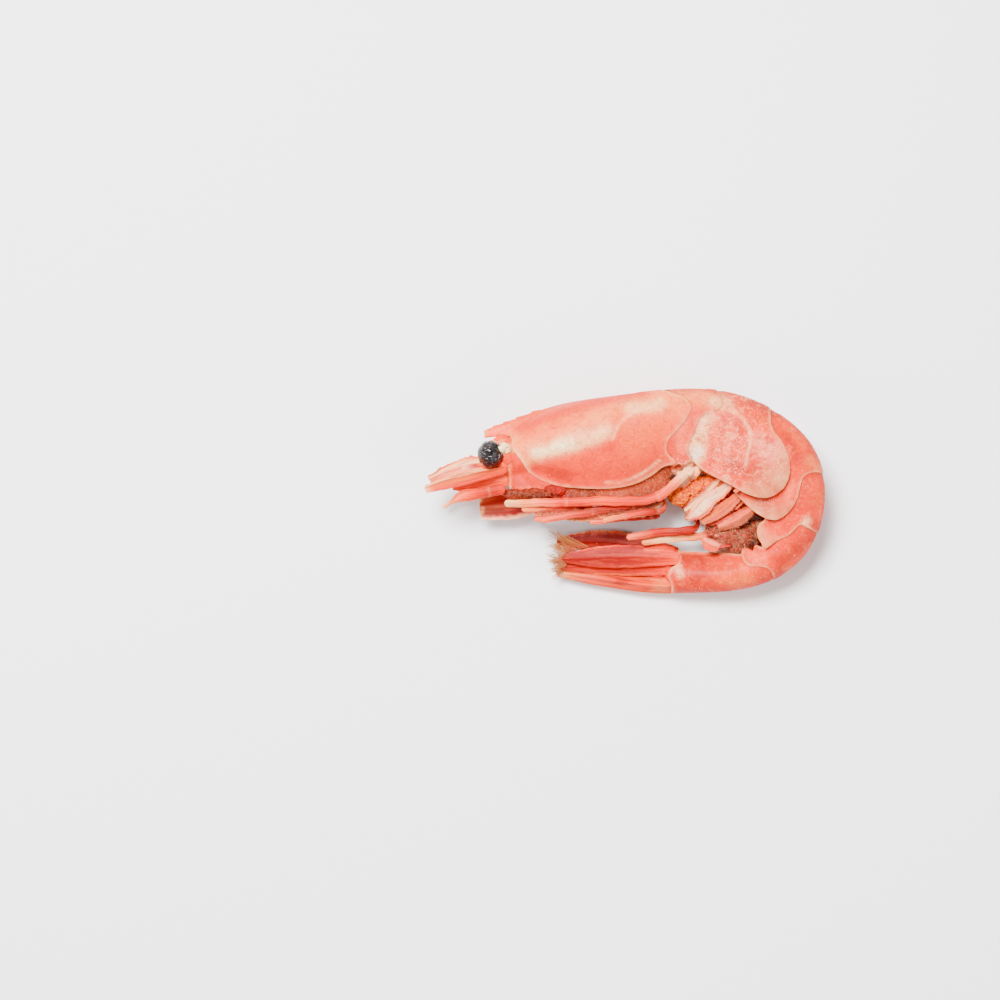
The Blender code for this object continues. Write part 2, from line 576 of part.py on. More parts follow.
def roe():
    """Clump of eggs under the belly: a lumpy core with single eggs fused on."""
    egg_radius = 0.45
    eggs_for_each = 9
    lumps = [(7.5, -0.2, 1.9, 1.8, 0.6), (9.6, 0.6, 1.6, 1.8, 0.6), (11.5, 0.8, 1.25, 1.6, 0.5),
             (13.1, -0.4, 1.2, 1.2, 0.3), (14.7, -1.5, 1.0, 0.9, -0.1), (15.8, -2.4, 0.8, 0.7, -0.4)]
    draw = random.Random(7)
    loose = bpy.data.collections.new("eggs")
    cutters.children.link(loose)
    for x, y, radius, thickness, offset in lumps:
        centre = np.array([x, y, MIDDLE + offset])
        reach = np.array([radius, radius, thickness])
        ball(loose, centre, reach, 10, 7)
        for _ in range(eggs_for_each):
            turn, rise = draw.uniform(0, 2 * pi), draw.uniform(-1, 1)
            flat = np.sqrt(1 - rise * rise)
            way = np.array([flat * cos(turn), flat * sin(turn), rise])
            size = egg_radius * draw.uniform(0.85, 1.1)
            ball(loose, centre + way * (reach - 0.25), np.array([size] * 3), 6, 4)
    lump = loose.objects[0]
    loose.objects.unlink(lump)
    pieces.objects.link(lump)
    union = lump.modifiers.new("eggs", "BOOLEAN")
    union.operation = "UNION"
    union.operand_type = "COLLECTION"
    union.collection = loose
    union.solver = "MANIFOLD"
    bpy.context.view_layer.update()
    seen = lump.evaluated_get(bpy.context.evaluated_depsgraph_get())
    mesh = bpy.data.meshes.new_from_object(seen)
    at = tuple(lump.location / MM)
    for obj in [lump, *loose.objects]:
        bpy.data.objects.remove(obj)
    bpy.data.collections.remove(loose)
    placed("roe", mesh, at, ROE_COLOUR, 0.35)


def ball(collection, centre, reach, segments, rings):
    """Loose ellipsoid for a clump, with its size in its mesh."""
    work = bmesh.new()
    bmesh.ops.create_uvsphere(work, u_segments=segments, v_segments=rings, radius=MM)
    bmesh.ops.scale(work, vec=reach, verts=work.verts)
    mesh = bpy.data.meshes.new("ball")
    work.to_mesh(mesh)
    work.free()
    obj = bpy.data.objects.new("ball", mesh)
    obj.location = centre * MM
    collection.objects.link(obj)


carapace()
abdomen()
belly_channel()
head_block()
thorax()
both_sides(eye, "eye_{}")
both_sides(eyestalk, "eyestalk_{}")
antennal_scales()
tail_fan()
pleopods()
limbs()
roe()
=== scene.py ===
"""The looks of a whole cooked northern prawn, curled on its right side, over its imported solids.

Places and lengths are millimetres in the prawn's own drawing, seen from above: the head is at -X,
the back bows to +Y and +X, and the left side is up. They become metres where a shape is made.
"""

from math import cos, pi, sin

import bmesh
import bpy
import numpy as np
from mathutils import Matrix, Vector, noise
from mathutils.geometry import delaunay_2d_cdt


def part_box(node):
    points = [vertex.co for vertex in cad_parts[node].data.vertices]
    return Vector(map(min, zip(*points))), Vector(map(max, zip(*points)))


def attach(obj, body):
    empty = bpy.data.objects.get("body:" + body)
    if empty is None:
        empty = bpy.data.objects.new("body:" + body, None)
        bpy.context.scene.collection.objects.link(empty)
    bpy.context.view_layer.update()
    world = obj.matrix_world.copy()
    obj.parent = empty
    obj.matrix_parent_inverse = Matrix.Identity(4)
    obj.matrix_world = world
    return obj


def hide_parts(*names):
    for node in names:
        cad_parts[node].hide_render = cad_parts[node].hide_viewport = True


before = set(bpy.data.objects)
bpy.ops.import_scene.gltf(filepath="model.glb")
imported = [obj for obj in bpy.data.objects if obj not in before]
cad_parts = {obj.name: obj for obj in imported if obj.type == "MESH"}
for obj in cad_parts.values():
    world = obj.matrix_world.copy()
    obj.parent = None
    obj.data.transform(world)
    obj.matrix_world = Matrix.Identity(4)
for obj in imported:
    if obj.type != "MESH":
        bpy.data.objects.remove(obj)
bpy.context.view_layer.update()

# A millimetre in the frame's metres, the spacing of a plate's points, and the least thickness
MM = 0.001
FINE = 0.3
THINNEST = 0.3

# The back line: headings in degrees at lengths along the back, from the broken tip of the rostrum
BACK_START = (-19.45, 8.32)
BACK_LENGTHS = (0, 5, 14, 25, 31, 38, 45, 52, 60, 68, 75, 83, 90, 99.5)
BACK_HEADINGS = (19, 21, 9, 5, -4, -24, -44, -78, -109, -148, -173, -181, -190, -187)
BACK_STEP = 0.1

# Where each plate ends on the back
CARAPACE_END = 24.9
SEGMENT_ENDS = (32.6, 40.2, 52.1, 60.4, 69.3, 83.3)
PLATE_ENDS = (CARAPACE_END, *SEGMENT_ENDS)
TELSON_END = 99.2
WHOLE_BACK = (0, TELSON_END)
BELLY_REACH = (28, 66)

# The body's section at lengths along the back
SECTION_LENGTHS = (0, 4, 8, 14, 20, 25, 31, 38, 45, 52, 60, 68, 75, 83)
HALF_WIDTHS = (2.6, 3.6, 4.8, 5.9, 6.35, 6.2, 6.0, 6.25, 5.95, 5.5, 4.9, 4.2, 3.6, 2.9)
ROUNDED_DEPTHS = (3.0, 3.6, 4.6, 5.2, 5.4, 5.4, 5.2, 5.2, 4.8, 4.4, 3.8, 3.3, 2.8, 2.7)
WHOLE_DEPTHS = (5.0, 6.0, 9.5, 12.0, 12.8, 12.2, 11.0, 12.8, 12.5, 11.0, 9.6, 7.6, 5.6, 5.5)
WIDTH_LEFT_BELOW = (0.7, 0.7, 0.72, 0.76, 0.78, 0.8, 0.85, 0.86, 0.86, 0.8, 0.75, 0.5, 0.3, 0.3)
KEEL_LENGTHS = (0, 3.6, 6, 10, 14, 100)
KEEL_DEPTHS = (1.7, 1.4, 0.9, 0.3, 0.0, 0.0)
KEEL_HALF_WIDTHS = (0.5, 0.6, 0.6, 0.5, 0.3, 0.0)
TEETH = (1.4, 2.9, 4.8, 7.0)
TOOTH_HEIGHT = 0.16
TOOTH_LENGTH = 1.2
TOOTH_CLEAR = 0.2
TOOTH_FRONT = 0.1

# The middle plane's height over the floor, which sinks towards the tail
MIDDLE = 6.2
TAIL_DROP = 4.1
DROP_FROM, DROP_TO = 46, 94

# Edges between the plates, from the back down to the belly
REAR_OF_CARAPACE = [(4.7, 13.8), (6.2, 13.3), (7.8, 12.6), (8.6, 11.3), (8.0, 9.9), (6.6, 8.1),
                    (5.4, 6.6), (5.3, 5.4), (6.7, 3.8)]
REAR_OF_1 = [(12.4, 13.7), (12.8, 12.1), (12.7, 11.4), (11.8, 10.9), (10.6, 10.4), (9.7, 9.7),
             (9.2, 8.4), (8.4, 6.6), (8.15, 5.6), (8.75, 4.2)]
REAR_OF_2 = [(19.5, 11.3), (19.4, 9.0), (19.7, 8.1), (20.6, 7.0), (21.4, 5.4), (21.9, 3.4),
             (21.7, 1.6), (21.1, 0.4)]
REAR_OF_3 = [(26.9, 2.2), (26.0, 2.5), (24.7, 2.4), (23.8, 1.9), (23.4, 0.7), (23.0, -1.0),
             (22.4, -2.2), (21.4, -3.3), (20.1, -3.95), (19.0, -3.8)]
REAR_OF_4 = [(26.0, -5.8), (24.6, -5.0), (23.5, -4.6), (22.7, -5.3), (22.0, -6.0), (20.7, -6.6),
             (19.6, -7.4), (18.9, -7.9)]
REAR_OF_5 = [(20.3, -12.2), (19.9, -11.2), (19.2, -10.5), (18.2, -10.3), (16.8, -10.2),
             (16.1, -9.6), (15.9, -8.7)]
REAR_OF_6 = [(6.5, -14.0), (6.4, -12.9), (5.9, -11.6), (6.5, -10.5), (7.3, -10.0), (7.5, -9.1),
             (7.2, -8.2)]

# Free lower edges, from front to rear
UNDER_ROSTRUM = [(-19.35, 7.25), (-17.6, 7.45), (-15.9, 7.5)]
FRONT_OF_CARAPACE = [(-15.5, 6.85), (-15.75, 6.2), (-15.4, 5.5), (-14.9, 4.9), (-14.3, 4.1),
                     (-13.75, 3.2), (-13.1, 2.3)]
UNDER_CARAPACE = [(-11.6, 1.45), (-9.5, 0.75), (-6.0, 0.35), (-2.6, 0.3), (1.2, 1.0), (3.5, 2.2),
                  (5.0, 3.3), (6.5, 3.6)]
UNDER_2 = [(8.75, 4.2), (10.3, 2.75), (12.1, 1.8), (13.9, 0.85), (15.4, 0.0), (16.8, -0.6),
           (18.6, -0.95), (20.0, -0.5), (21.1, 0.4)]
UNDER_3 = [(14.9, -0.5), (16.4, -1.95), (17.8, -3.1), (19.0, -3.8)]
UNDER_4 = [(19.0, -3.8), (18.0, -4.8), (17.9, -5.9), (18.9, -7.9)]
UNDER_5 = [(18.9, -7.9), (17.4, -7.3), (16.2, -7.6), (15.9, -8.7)]
UNDER_6 = [(15.9, -8.7), (13.6, -8.5), (10.2, -8.4), (7.2, -8.2)]
HEAD_FRONT = [(-16.1, 5.3), (-16.3, 4.6), (-16.8, 3.3), (-16.6, 1.8), (-15.8, 0.3)]
HEAD_REAR = [(-15.65, 5.2), (-14.9, 4.2), (-13.7, 2.65), (-12.4, 1.4), (-10.4, 0.6)]
UNDER_HEAD = [(-15.8, 0.3), (-13.0, -0.1), (-10.4, -0.2)]
THORAX_TOP = [(-9.9, 0.4), (-6.0, 0.0), (-2.6, -0.05), (1.3, 0.65), (3.6, 1.85), (5.1, 2.95)]
THORAX_FLOOR = [(-9.9, -0.5), (-6.0, -0.9), (-2.0, -1.0), (2.0, -0.8), (4.6, 0.2), (6.0, 1.7)]

# The belly channel between the side flaps
FLAP_THICKNESS = 0.8
CHANNEL_ROOF = [(6.4, 6.0), (9.0, 6.3), (11.0, 4.9), (13.3, 3.4), (15.3, 2.2), (17.4, 1.3),
                (19.0, 0.3), (19.9, -1.4), (20.4, -3.2), (20.3, -5.0), (19.6, -6.4), (18.4, -8.6)]
CHANNEL_MOUTH = [(5.6, 2.4), (8.0, 2.2), (9.8, 0.9), (11.4, 0.0), (13.2, -1.2), (14.0, -2.4),
                 (15.4, -3.6), (16.4, -4.4), (16.6, -5.2), (16.4, -6.0), (16.0, -6.6), (15.2, -7.2)]

# How the plates ride over each other: each starts under the one in front, sunk, and ends in a lip.
# A rim's points keep the shallowest depth below the back.
OVERLAP = 0.7
LIP_HEIGHT = 0.09
SUNK = 0.09
SUNK_FADE, LIP_FADE = 6, 8
SHALLOWEST = 0.3

# How far the head block and the thorax reach on under the head shield's edge
TUCK = (0.4, 1.3)

# The grid of a plate: how far its rows go down, and how bumpy it is
DOME_ROWS_DEPTH = 5.5
ROWS_BELOW_DOME = 9
SWELL = 0.05

# Limbs, leaves and ribbons
LIMB_STEP, LIMB_SIDES = 0.14, 14
LIMB_FLATNESS = 0.6
KNEE_WIDTH = 0.35
WANDER = 0.1
LEAF_STEP, LEAF_SIDES = 0.2, 36
RIDGE_WIDTH = 0.28
BLADE_THICKNESS = 0.28
SCALE_THICKNESS = 0.24
SKIN_THICKNESS = 0.2
STALK_SIDES = 48

# Eyes and their stalks: places in the side view, and offsets from the middle plane
EYE_RADIUS = 1.78
EYE_STRETCH = (1.02, 1.07, 1.0)
EYE_CENTRE = (-18.5, 5.04)
EYE_OFFSET = 2.95
STALK_ROOT = (-16.2, 6.5)
STALK_ROOT_OFFSET = 0.8

# What is sown: eggs, ice and hairs, with their sizes and how many stand on a square millimetre
EGG_RADIUS = 0.25
EGGS_PER_MM2 = 11.0
FROST_RADIUS = 0.032
FROST_PER_MM2 = (0.15, 13.0)
HAIR_SIDES = 4
BED_STEPS = 12
FUZZ_PER_MM2 = 16.0
CURLS_PER_MM2 = 8.0
WISP_ROWS = 9
WISP_RADIUS = 0.065
WISP_TURNS = (0.3, 1.9, 3.4, 5.0)

# Where frost has gathered: places in the side view, and how far each heap reaches
FROST_HEAPS = (
    ((9.6, 5.2), 1.3), ((7.6, 3.4), 2.0), ((10.2, 9.0), 1.2), ((24.4, -4.2), 0.9),
    ((14.0, 5.0), 3.0), ((18.6, -2.4), 1.4), ((-14.4, 4.6), 0.5), ((6.9, -10.6), 1.0),
    ((-7.2, -5.9), 0.7), ((-5.6, -5.6), 0.7), ((-4.0, -5.5), 0.7), ((-2.4, -5.6), 0.6),
)

# The view: a square frame, seen from straight above, that places the prawn as the photo does
FRAME_WIDTH = 137.0
FRAME_CENTRE = (-17.2, -1.23)
LENS = 100.0
SENSOR = 36.0
FLOOR_HALF_WIDTH = 1500

# Soft lamps: place, width and watts
WORLD_STRENGTH = 0.34
LAMPS = (
    ("key_light", (-110, 150, 420), 150, 8.4),
    ("fill_light", (300, -180, 260), 300, 1.5),
    ("back_light", (-320, -80, 200), 200, 0.8),
)


def drawing_shift():
    """What turns the drawing's places into the frame's, read from where the left eye lies."""
    low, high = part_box("eye_left")
    seen = (np.array(low) + np.array(high)) / 2 / MM
    return seen - (*EYE_CENTRE, MIDDLE + EYE_OFFSET)


SHIFT = drawing_shift()

# How uneven the edge of a wash of colour is, as a share of its spread
RAGGED_WASH = 0.3

# Colours, kept deep because the studio light is bright
PALE = (1.0, 0.48, 0.20)
CREAM = (0.98, 0.22, 0.05)
ROSE = (0.96, 0.12, 0.045)
PINK = (0.80, 0.035, 0.010)
PEACH = (0.86, 0.046, 0.002)
SALMON = (0.68, 0.018, 0.0005)
CORAL = (0.44, 0.008, 0.0004)
ORANGE = (0.66, 0.085, 0.0003)
FLAME = (0.36, 0.008, 0.0004)
RED = (0.24, 0.0022, 0.0012)
CRIMSON = (0.14, 0.001, 0.0012)
DUSK = (0.16, 0.012, 0.012)
LILAC = (0.92, 0.25, 0.16)
RUST = (0.22, 0.022, 0.005)
TAN = (0.42, 0.075, 0.025)
MAROON = (0.04, 0.0035, 0.0025)
OLIVE = (0.40, 0.19, 0.03)
# Buttery white of the painted highlight on the head shield
HIGHLIGHT_BUTTER = (0.95, 0.74, 0.36)
APRICOT = (0.84, 0.085, 0.003)
AMBER = (0.84, 0.07, 0.003)
BRICK = (0.62, 0.022, 0.0008)
TOMATO = (0.58, 0.015, 0.0004)
CLAY = (0.5, 0.06, 0.016)
SCARLET = (0.44, 0.004, 0.0002)
LIVER = (0.42, 0.045, 0.022)
WINE = (0.33, 0.004, 0.002)
RUBY = (0.30, 0.005, 0.004)
PLUM = (0.30, 0.022, 0.022)
IVORY = (0.95, 0.66, 0.34)
MILK = (1.0, 0.68, 0.44)
STRAW = (0.9, 0.4, 0.18)
BLACK = (0.001, 0.0008, 0.001)
GREY = (0.018, 0.013, 0.018)
# Grey-white of the painted highlights on the eyes
EYE_PAINTED_GLINT = (0.5, 0.38, 0.36)
EGG_DEEP = (0.58, 0.045, 0.0)
EGG_BRIGHT = (0.9, 0.15, 0.0)
EGG_PALE = (0.95, 0.28, 0.0)
ICE = (0.95, 0.88, 0.82)
WHITE = (1.0, 1.0, 1.0)
PAPER = (0.9, 0.9, 0.9)


def smooth(knots, values, at):
    """Cubic curve through the values at the knots, read at the given places."""
    knots = np.asarray(knots, float)
    values = np.asarray(values, float).reshape(len(knots), -1)
    slopes = np.gradient(values, knots, axis=0)
    at = np.clip(np.asarray(at, float), knots[0], knots[-1])
    low = np.clip(np.searchsorted(knots, at, side="right") - 1, 0, len(knots) - 2)
    span = (knots[low + 1] - knots[low])[..., None]
    t = (at - knots[low])[..., None] / span
    start, end = values[low], values[low + 1]
    rise = slopes[low] * span * t * (1 - t) ** 2 - slopes[low + 1] * span * t**2 * (1 - t)
    return start + (end - start) * (3 - 2 * t) * t**2 + rise


def measure(lengths, values, at):
    """One number along a line, read from its values at the given lengths."""
    return smooth(lengths, values, at)[..., 0]


def chord_lengths(points):
    """How far along its broken line each point lies."""
    steps = np.linalg.norm(np.diff(points, axis=0), axis=1)
    return np.concatenate([[0], np.cumsum(steps)])


def edge(points):
    """Evenly spaced points on a smooth curve through the given ones."""
    points = np.asarray(points, float)
    lengths = chord_lengths(points)
    count = max(3, round(lengths[-1] / FINE) + 1)
    return smooth(lengths, points, lengths[-1] * np.linspace(0, 1, count))


def back_line():
    """Lengths, points and inward directions along the back."""
    lengths = np.arange(0, BACK_LENGTHS[-1] + BACK_STEP / 2, BACK_STEP)
    headings = np.radians(measure(BACK_LENGTHS, BACK_HEADINGS, lengths + BACK_STEP / 2))
    steps = np.stack([np.cos(headings), np.sin(headings)], 1) * BACK_STEP
    points = np.vstack([BACK_START, BACK_START + np.cumsum(steps[:-1], 0)])
    inward = np.stack([np.sin(headings), -np.cos(headings)], 1)
    return lengths, points, inward


LENGTHS, BACK, INWARD = back_line()


def along_back(lengths):
    """Points on the back at the given lengths."""
    return np.stack([np.interp(lengths, LENGTHS, BACK[:, k]) for k in (0, 1)], -1)


def inward_at(lengths):
    """Directions from the back towards the belly at the given lengths."""
    return np.stack([np.interp(lengths, LENGTHS, INWARD[:, k]) for k in (0, 1)], -1)


def from_back(points, reach=WHOLE_BACK):
    """Each point's length along the back and its depth below it, over a stretch of the back."""
    near = (LENGTHS >= reach[0]) & (LENGTHS <= reach[1])
    apart = np.linalg.norm(points[..., None, :] - BACK[near], axis=-1)
    return LENGTHS[near][apart.argmin(-1)], apart.min(-1)


def middle(lengths):
    """Height of the body's middle plane."""
    t = np.clip((lengths - DROP_FROM) / (DROP_TO - DROP_FROM), 0, 1)
    return MIDDLE - TAIL_DROP * t * t * (3 - 2 * t)


def half_width(points, reach=WHOLE_BACK):
    """Half the body's thickness over each point of its side view."""
    lengths, depths = from_back(points, reach)
    keel = measure(KEEL_LENGTHS, KEEL_HALF_WIDTHS, lengths) * np.sqrt(np.clip(depths / 0.5, 0, 1))
    depths = np.clip(depths - measure(KEEL_LENGTHS, KEEL_DEPTHS, lengths), 0, None)
    rounded = measure(SECTION_LENGTHS, ROUNDED_DEPTHS, lengths)
    whole = measure(SECTION_LENGTHS, WHOLE_DEPTHS, lengths)
    left_below = measure(SECTION_LENGTHS, WIDTH_LEFT_BELOW, lengths)
    dome = np.sqrt(1 - (1 - np.clip(depths / rounded, 0, 1)) ** 2)
    fall = np.clip((depths - rounded) / (whole - rounded), 0, 1.1)
    body = measure(SECTION_LENGTHS, HALF_WIDTHS, lengths) * (dome - (1 - left_below) * fall**2)
    return np.hypot(body, keel)


def pulled_in(points, amount):
    """The curve moved sideways, to its left as it runs."""
    ahead = np.gradient(points, axis=0)
    ahead /= np.linalg.norm(ahead, axis=1)[:, None]
    return points + amount * np.stack([-ahead[:, 1], ahead[:, 0]], 1)


def distance(points, line):
    """Each point's distance to a broken line."""
    line = np.asarray(line, float)
    start, end = line[:-1], line[1:]
    along = end - start
    offset = points[:, None] - start
    share = (offset * along).sum(2) / np.maximum((along**2).sum(1), 1e-9)
    nearest = start + along * np.clip(share, 0, 1)[..., None]
    return np.linalg.norm(points[:, None] - nearest, axis=2).min(1)


def beside(points, line, spread):
    """1 on a line, fading to nothing at about twice the spread from it."""
    return np.exp(-((distance(points, line) / spread) ** 2))


def inside(points, outline):
    """Which points lie inside a closed outline, by counting its crossings."""
    x, y = points[:, 0, None], points[:, 1, None]
    start, end = outline, np.roll(outline, -1, axis=0)
    spans = (start[:, 1] > y) != (end[:, 1] > y)
    rise = np.where(end[:, 1] == start[:, 1], 1, end[:, 1] - start[:, 1])
    crossing = start[:, 0] + (y - start[:, 1]) * (end[:, 0] - start[:, 0]) / rise
    return (spans & (x < crossing)).sum(1) % 2 == 1


def stations(start, end, spacing=FINE):
    """Lengths along the back at whole steps, with the two ends."""
    steps = np.arange(np.ceil(start / spacing), end / spacing) * spacing
    steps = steps[(steps > start + 0.4 * spacing) & (steps < end - 0.4 * spacing)]
    return np.concatenate([[start], steps, [end]])


def lattice(outline, reach):
    """Points inside an outline, in rows below the back that are closest where the body rounds over."""
    lengths = stations(*reach)[1:-1]
    rounded = measure(SECTION_LENGTHS, ROUNDED_DEPTHS, lengths)
    count = round(DOME_ROWS_DEPTH / FINE)
    levels = [(1 - cos(k * pi / 2 / count), 0) for k in range(1, count + 1)]
    levels += [(1, k * FINE) for k in range(1, int(ROWS_BELOW_DOME / FINE))]
    rows = [along_back(lengths) + inward_at(lengths) * (rounded * share + more)[:, None]
            for share, more in levels]
    points = np.vstack(rows)
    reached = np.concatenate([rounded * share + more for share, more in levels])
    depths = from_back(points, reach)[1]
    room = FINE * np.clip(0.12 + 0.3 * depths, 0, 0.5)
    kept = inside(points, outline) & (depths > reached - 0.2)
    kept[kept] = distance(points[kept], np.vstack([outline, outline[:1]])) > room[kept]
    return points[kept]


def waves(points, size, seed):
    """Smooth noise from -1 to 1 at the points, whose bumps are about the given size."""
    moved = np.asarray(points, float) / size + seed * 7.31
    if moved.shape[1] == 2:
        moved = np.column_stack([moved, np.full(len(moved), seed * 1.7)])
    return np.array([noise.noise(Vector(point)) for point in moved])


def waves_along(at, size, seed, row=0):
    """Smooth noise from -1 to 1 along a line, another for each row."""
    return waves(np.column_stack([at, at * 0 + row, at * 0]), size, seed)


def from_faces(name, points, faces):
    """New piece from points in millimetres, with its faces turned outwards."""
    mesh = bpy.data.meshes.new(name)
    mesh.from_pydata(((np.asarray(points) + SHIFT) * MM).tolist(), [], faces)
    work = bmesh.new()
    work.from_mesh(mesh)
    bmesh.ops.recalc_face_normals(work, faces=work.faces)
    work.to_mesh(mesh)
    work.free()
    mesh.shade_smooth()
    piece = bpy.data.objects.new(name, mesh)
    bpy.context.scene.collection.objects.link(piece)
    return piece


def unit_ball(detail):
    """Points and faces of a ball with a radius of 1, always in the same order."""
    work = bmesh.new()
    bmesh.ops.create_icosphere(work, subdivisions=detail, radius=1)
    points = np.array([vertex.co for vertex in work.verts])
    faces = [[vertex.index for vertex in face.verts] for face in work.faces]
    work.free()
    return points, faces


def drawn(piece):
    """The piece's points, back in the drawing's millimetres."""
    points = np.empty(len(piece.data.vertices) * 3)
    piece.data.vertices.foreach_get("co", points)
    return points.reshape(-1, 3) / MM - SHIFT


def clear_of_back(line, corner):
    """An edge that starts at a corner on the back, without its points that run too near the back."""
    return np.vstack([corner, line[1:][from_back(line[1:])[1] > SHALLOWEST]])


def plate(name, back, rim, reach, share=1.0, less=0.0, lifts=(), swell=SWELL):
    """Shell plate over an outline of the side view, walled along its rim and closed along the back.

    It is a share of the body's half width, less an amount, over a stretch of the back. Each lift is
    a line with the extra half thickness beside it and how far that spreads.
    """
    outline = np.vstack([back, rim])
    points = np.vstack([outline, lattice(outline, reach)])
    rim_edges = [(k, (k + 1) % len(outline)) for k in range(len(outline))]
    flat, _, faces, sources, _, _ = delaunay_2d_cdt(
        [Vector(point) for point in points], rim_edges, [], 1, 1e-4)
    flat = np.array([tuple(point) for point in flat])
    at_input = [min(source) if source else -1 for source in sources]
    width = share * half_width(flat, reach) - less
    for line, lift, spread in lifts:
        width += lift * beside(flat, line, spread)
    width += swell * waves(flat, 1.9, seed=3) + swell / 2 * waves(flat, 0.8, seed=5)
    on_back = np.array([0 <= source < len(back) for source in at_input])
    width = np.where(on_back, 0, np.maximum(width, THINNEST / 2))
    faces = [face for face in faces if not on_back[face].all()]
    centre = middle(from_back(flat, reach)[0])
    left = np.column_stack([flat, centre + width])
    right = np.column_stack([flat, np.maximum(centre - width, 0)])
    count = len(flat)
    under = [k if on_back[k] else count + k for k in range(count)]
    solid = [tuple(face) for face in faces]
    solid += [tuple(under[k] for k in face[::-1]) for face in faces]
    place_of = {source: k for k, source in enumerate(at_input) if 0 <= source < len(outline)}
    for a, b in rim_edges:
        a, b = place_of[a], place_of[b]
        corners = tuple(dict.fromkeys((a, b, under[b], under[a])))
        if len(corners) > 2:
            solid.append(corners)
    every = np.vstack([left, right])
    used = sorted({k for face in solid for k in face})
    renumbered = {k: place for place, k in enumerate(used)}
    solid = [tuple(renumbered[k] for k in face) for face in solid]
    return from_faces(name, every[used], solid)


def washed(points, base, washes):
    """Colours over points: a base with washes of colour laid on in turn.

    A wash is a line of places in the side view, how far it spreads, its colour and its strength.
    """
    flat = points[:, :2]
    uneven = waves(points, 1.4, seed=11) + 0.6 * waves(points, 0.55, seed=12)
    tones = np.tile(base, (len(points), 1))
    for line, spread, colour, strength in washes:
        line = np.asarray(line, float).reshape(-1, 2)
        line = np.vstack([line, line[-1:]]) if len(line) == 1 else line
        away = distance(flat, line) / spread + RAGGED_WASH * uneven
        share = strength * np.exp(-np.clip(away, 0, None) ** 2.4)[:, None]
        tones = tones * (1 - share) + np.array(colour) * share
    return tones


def tones_at(at, places, tones):
    """Colours read at the given places from tones at others."""
    return np.stack([np.interp(at, places, [tone[k] for tone in tones]) for k in range(3)], 1)


def write_attributes(piece, tones=None, **numbers):
    """Colours and numbers on the piece's points, for its material to read."""
    count = len(piece.data.vertices)
    if tones is not None:
        tone = piece.data.attributes.new("tone", "FLOAT_COLOR", "POINT")
        tone.data.foreach_set("color", np.column_stack([tones, np.ones(count)]).ravel())
    for name, values in numbers.items():
        number = piece.data.attributes.new(name, "FLOAT", "POINT")
        number.data.foreach_set("value", np.broadcast_to(values, count).astype(float))


def finish_piece(piece, material, slot, *nodes):
    """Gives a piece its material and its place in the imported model."""
    if material:
        piece.data.materials.clear()
        piece.data.materials.append(material)
    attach(piece, "root")
    if nodes:
        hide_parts(*nodes)
    return piece


# Shader building


class Value:
    """A number in a material: what is added to it or multiplied with it becomes a Math node."""

    def __init__(self, finish, socket):
        self.finish = finish
        self.socket = socket

    def __add__(self, other):
        return self.finish.maths("ADD", self, other)

    def __mul__(self, other):
        return self.finish.maths("MULTIPLY", self, other)

    __radd__ = __add__
    __rmul__ = __mul__


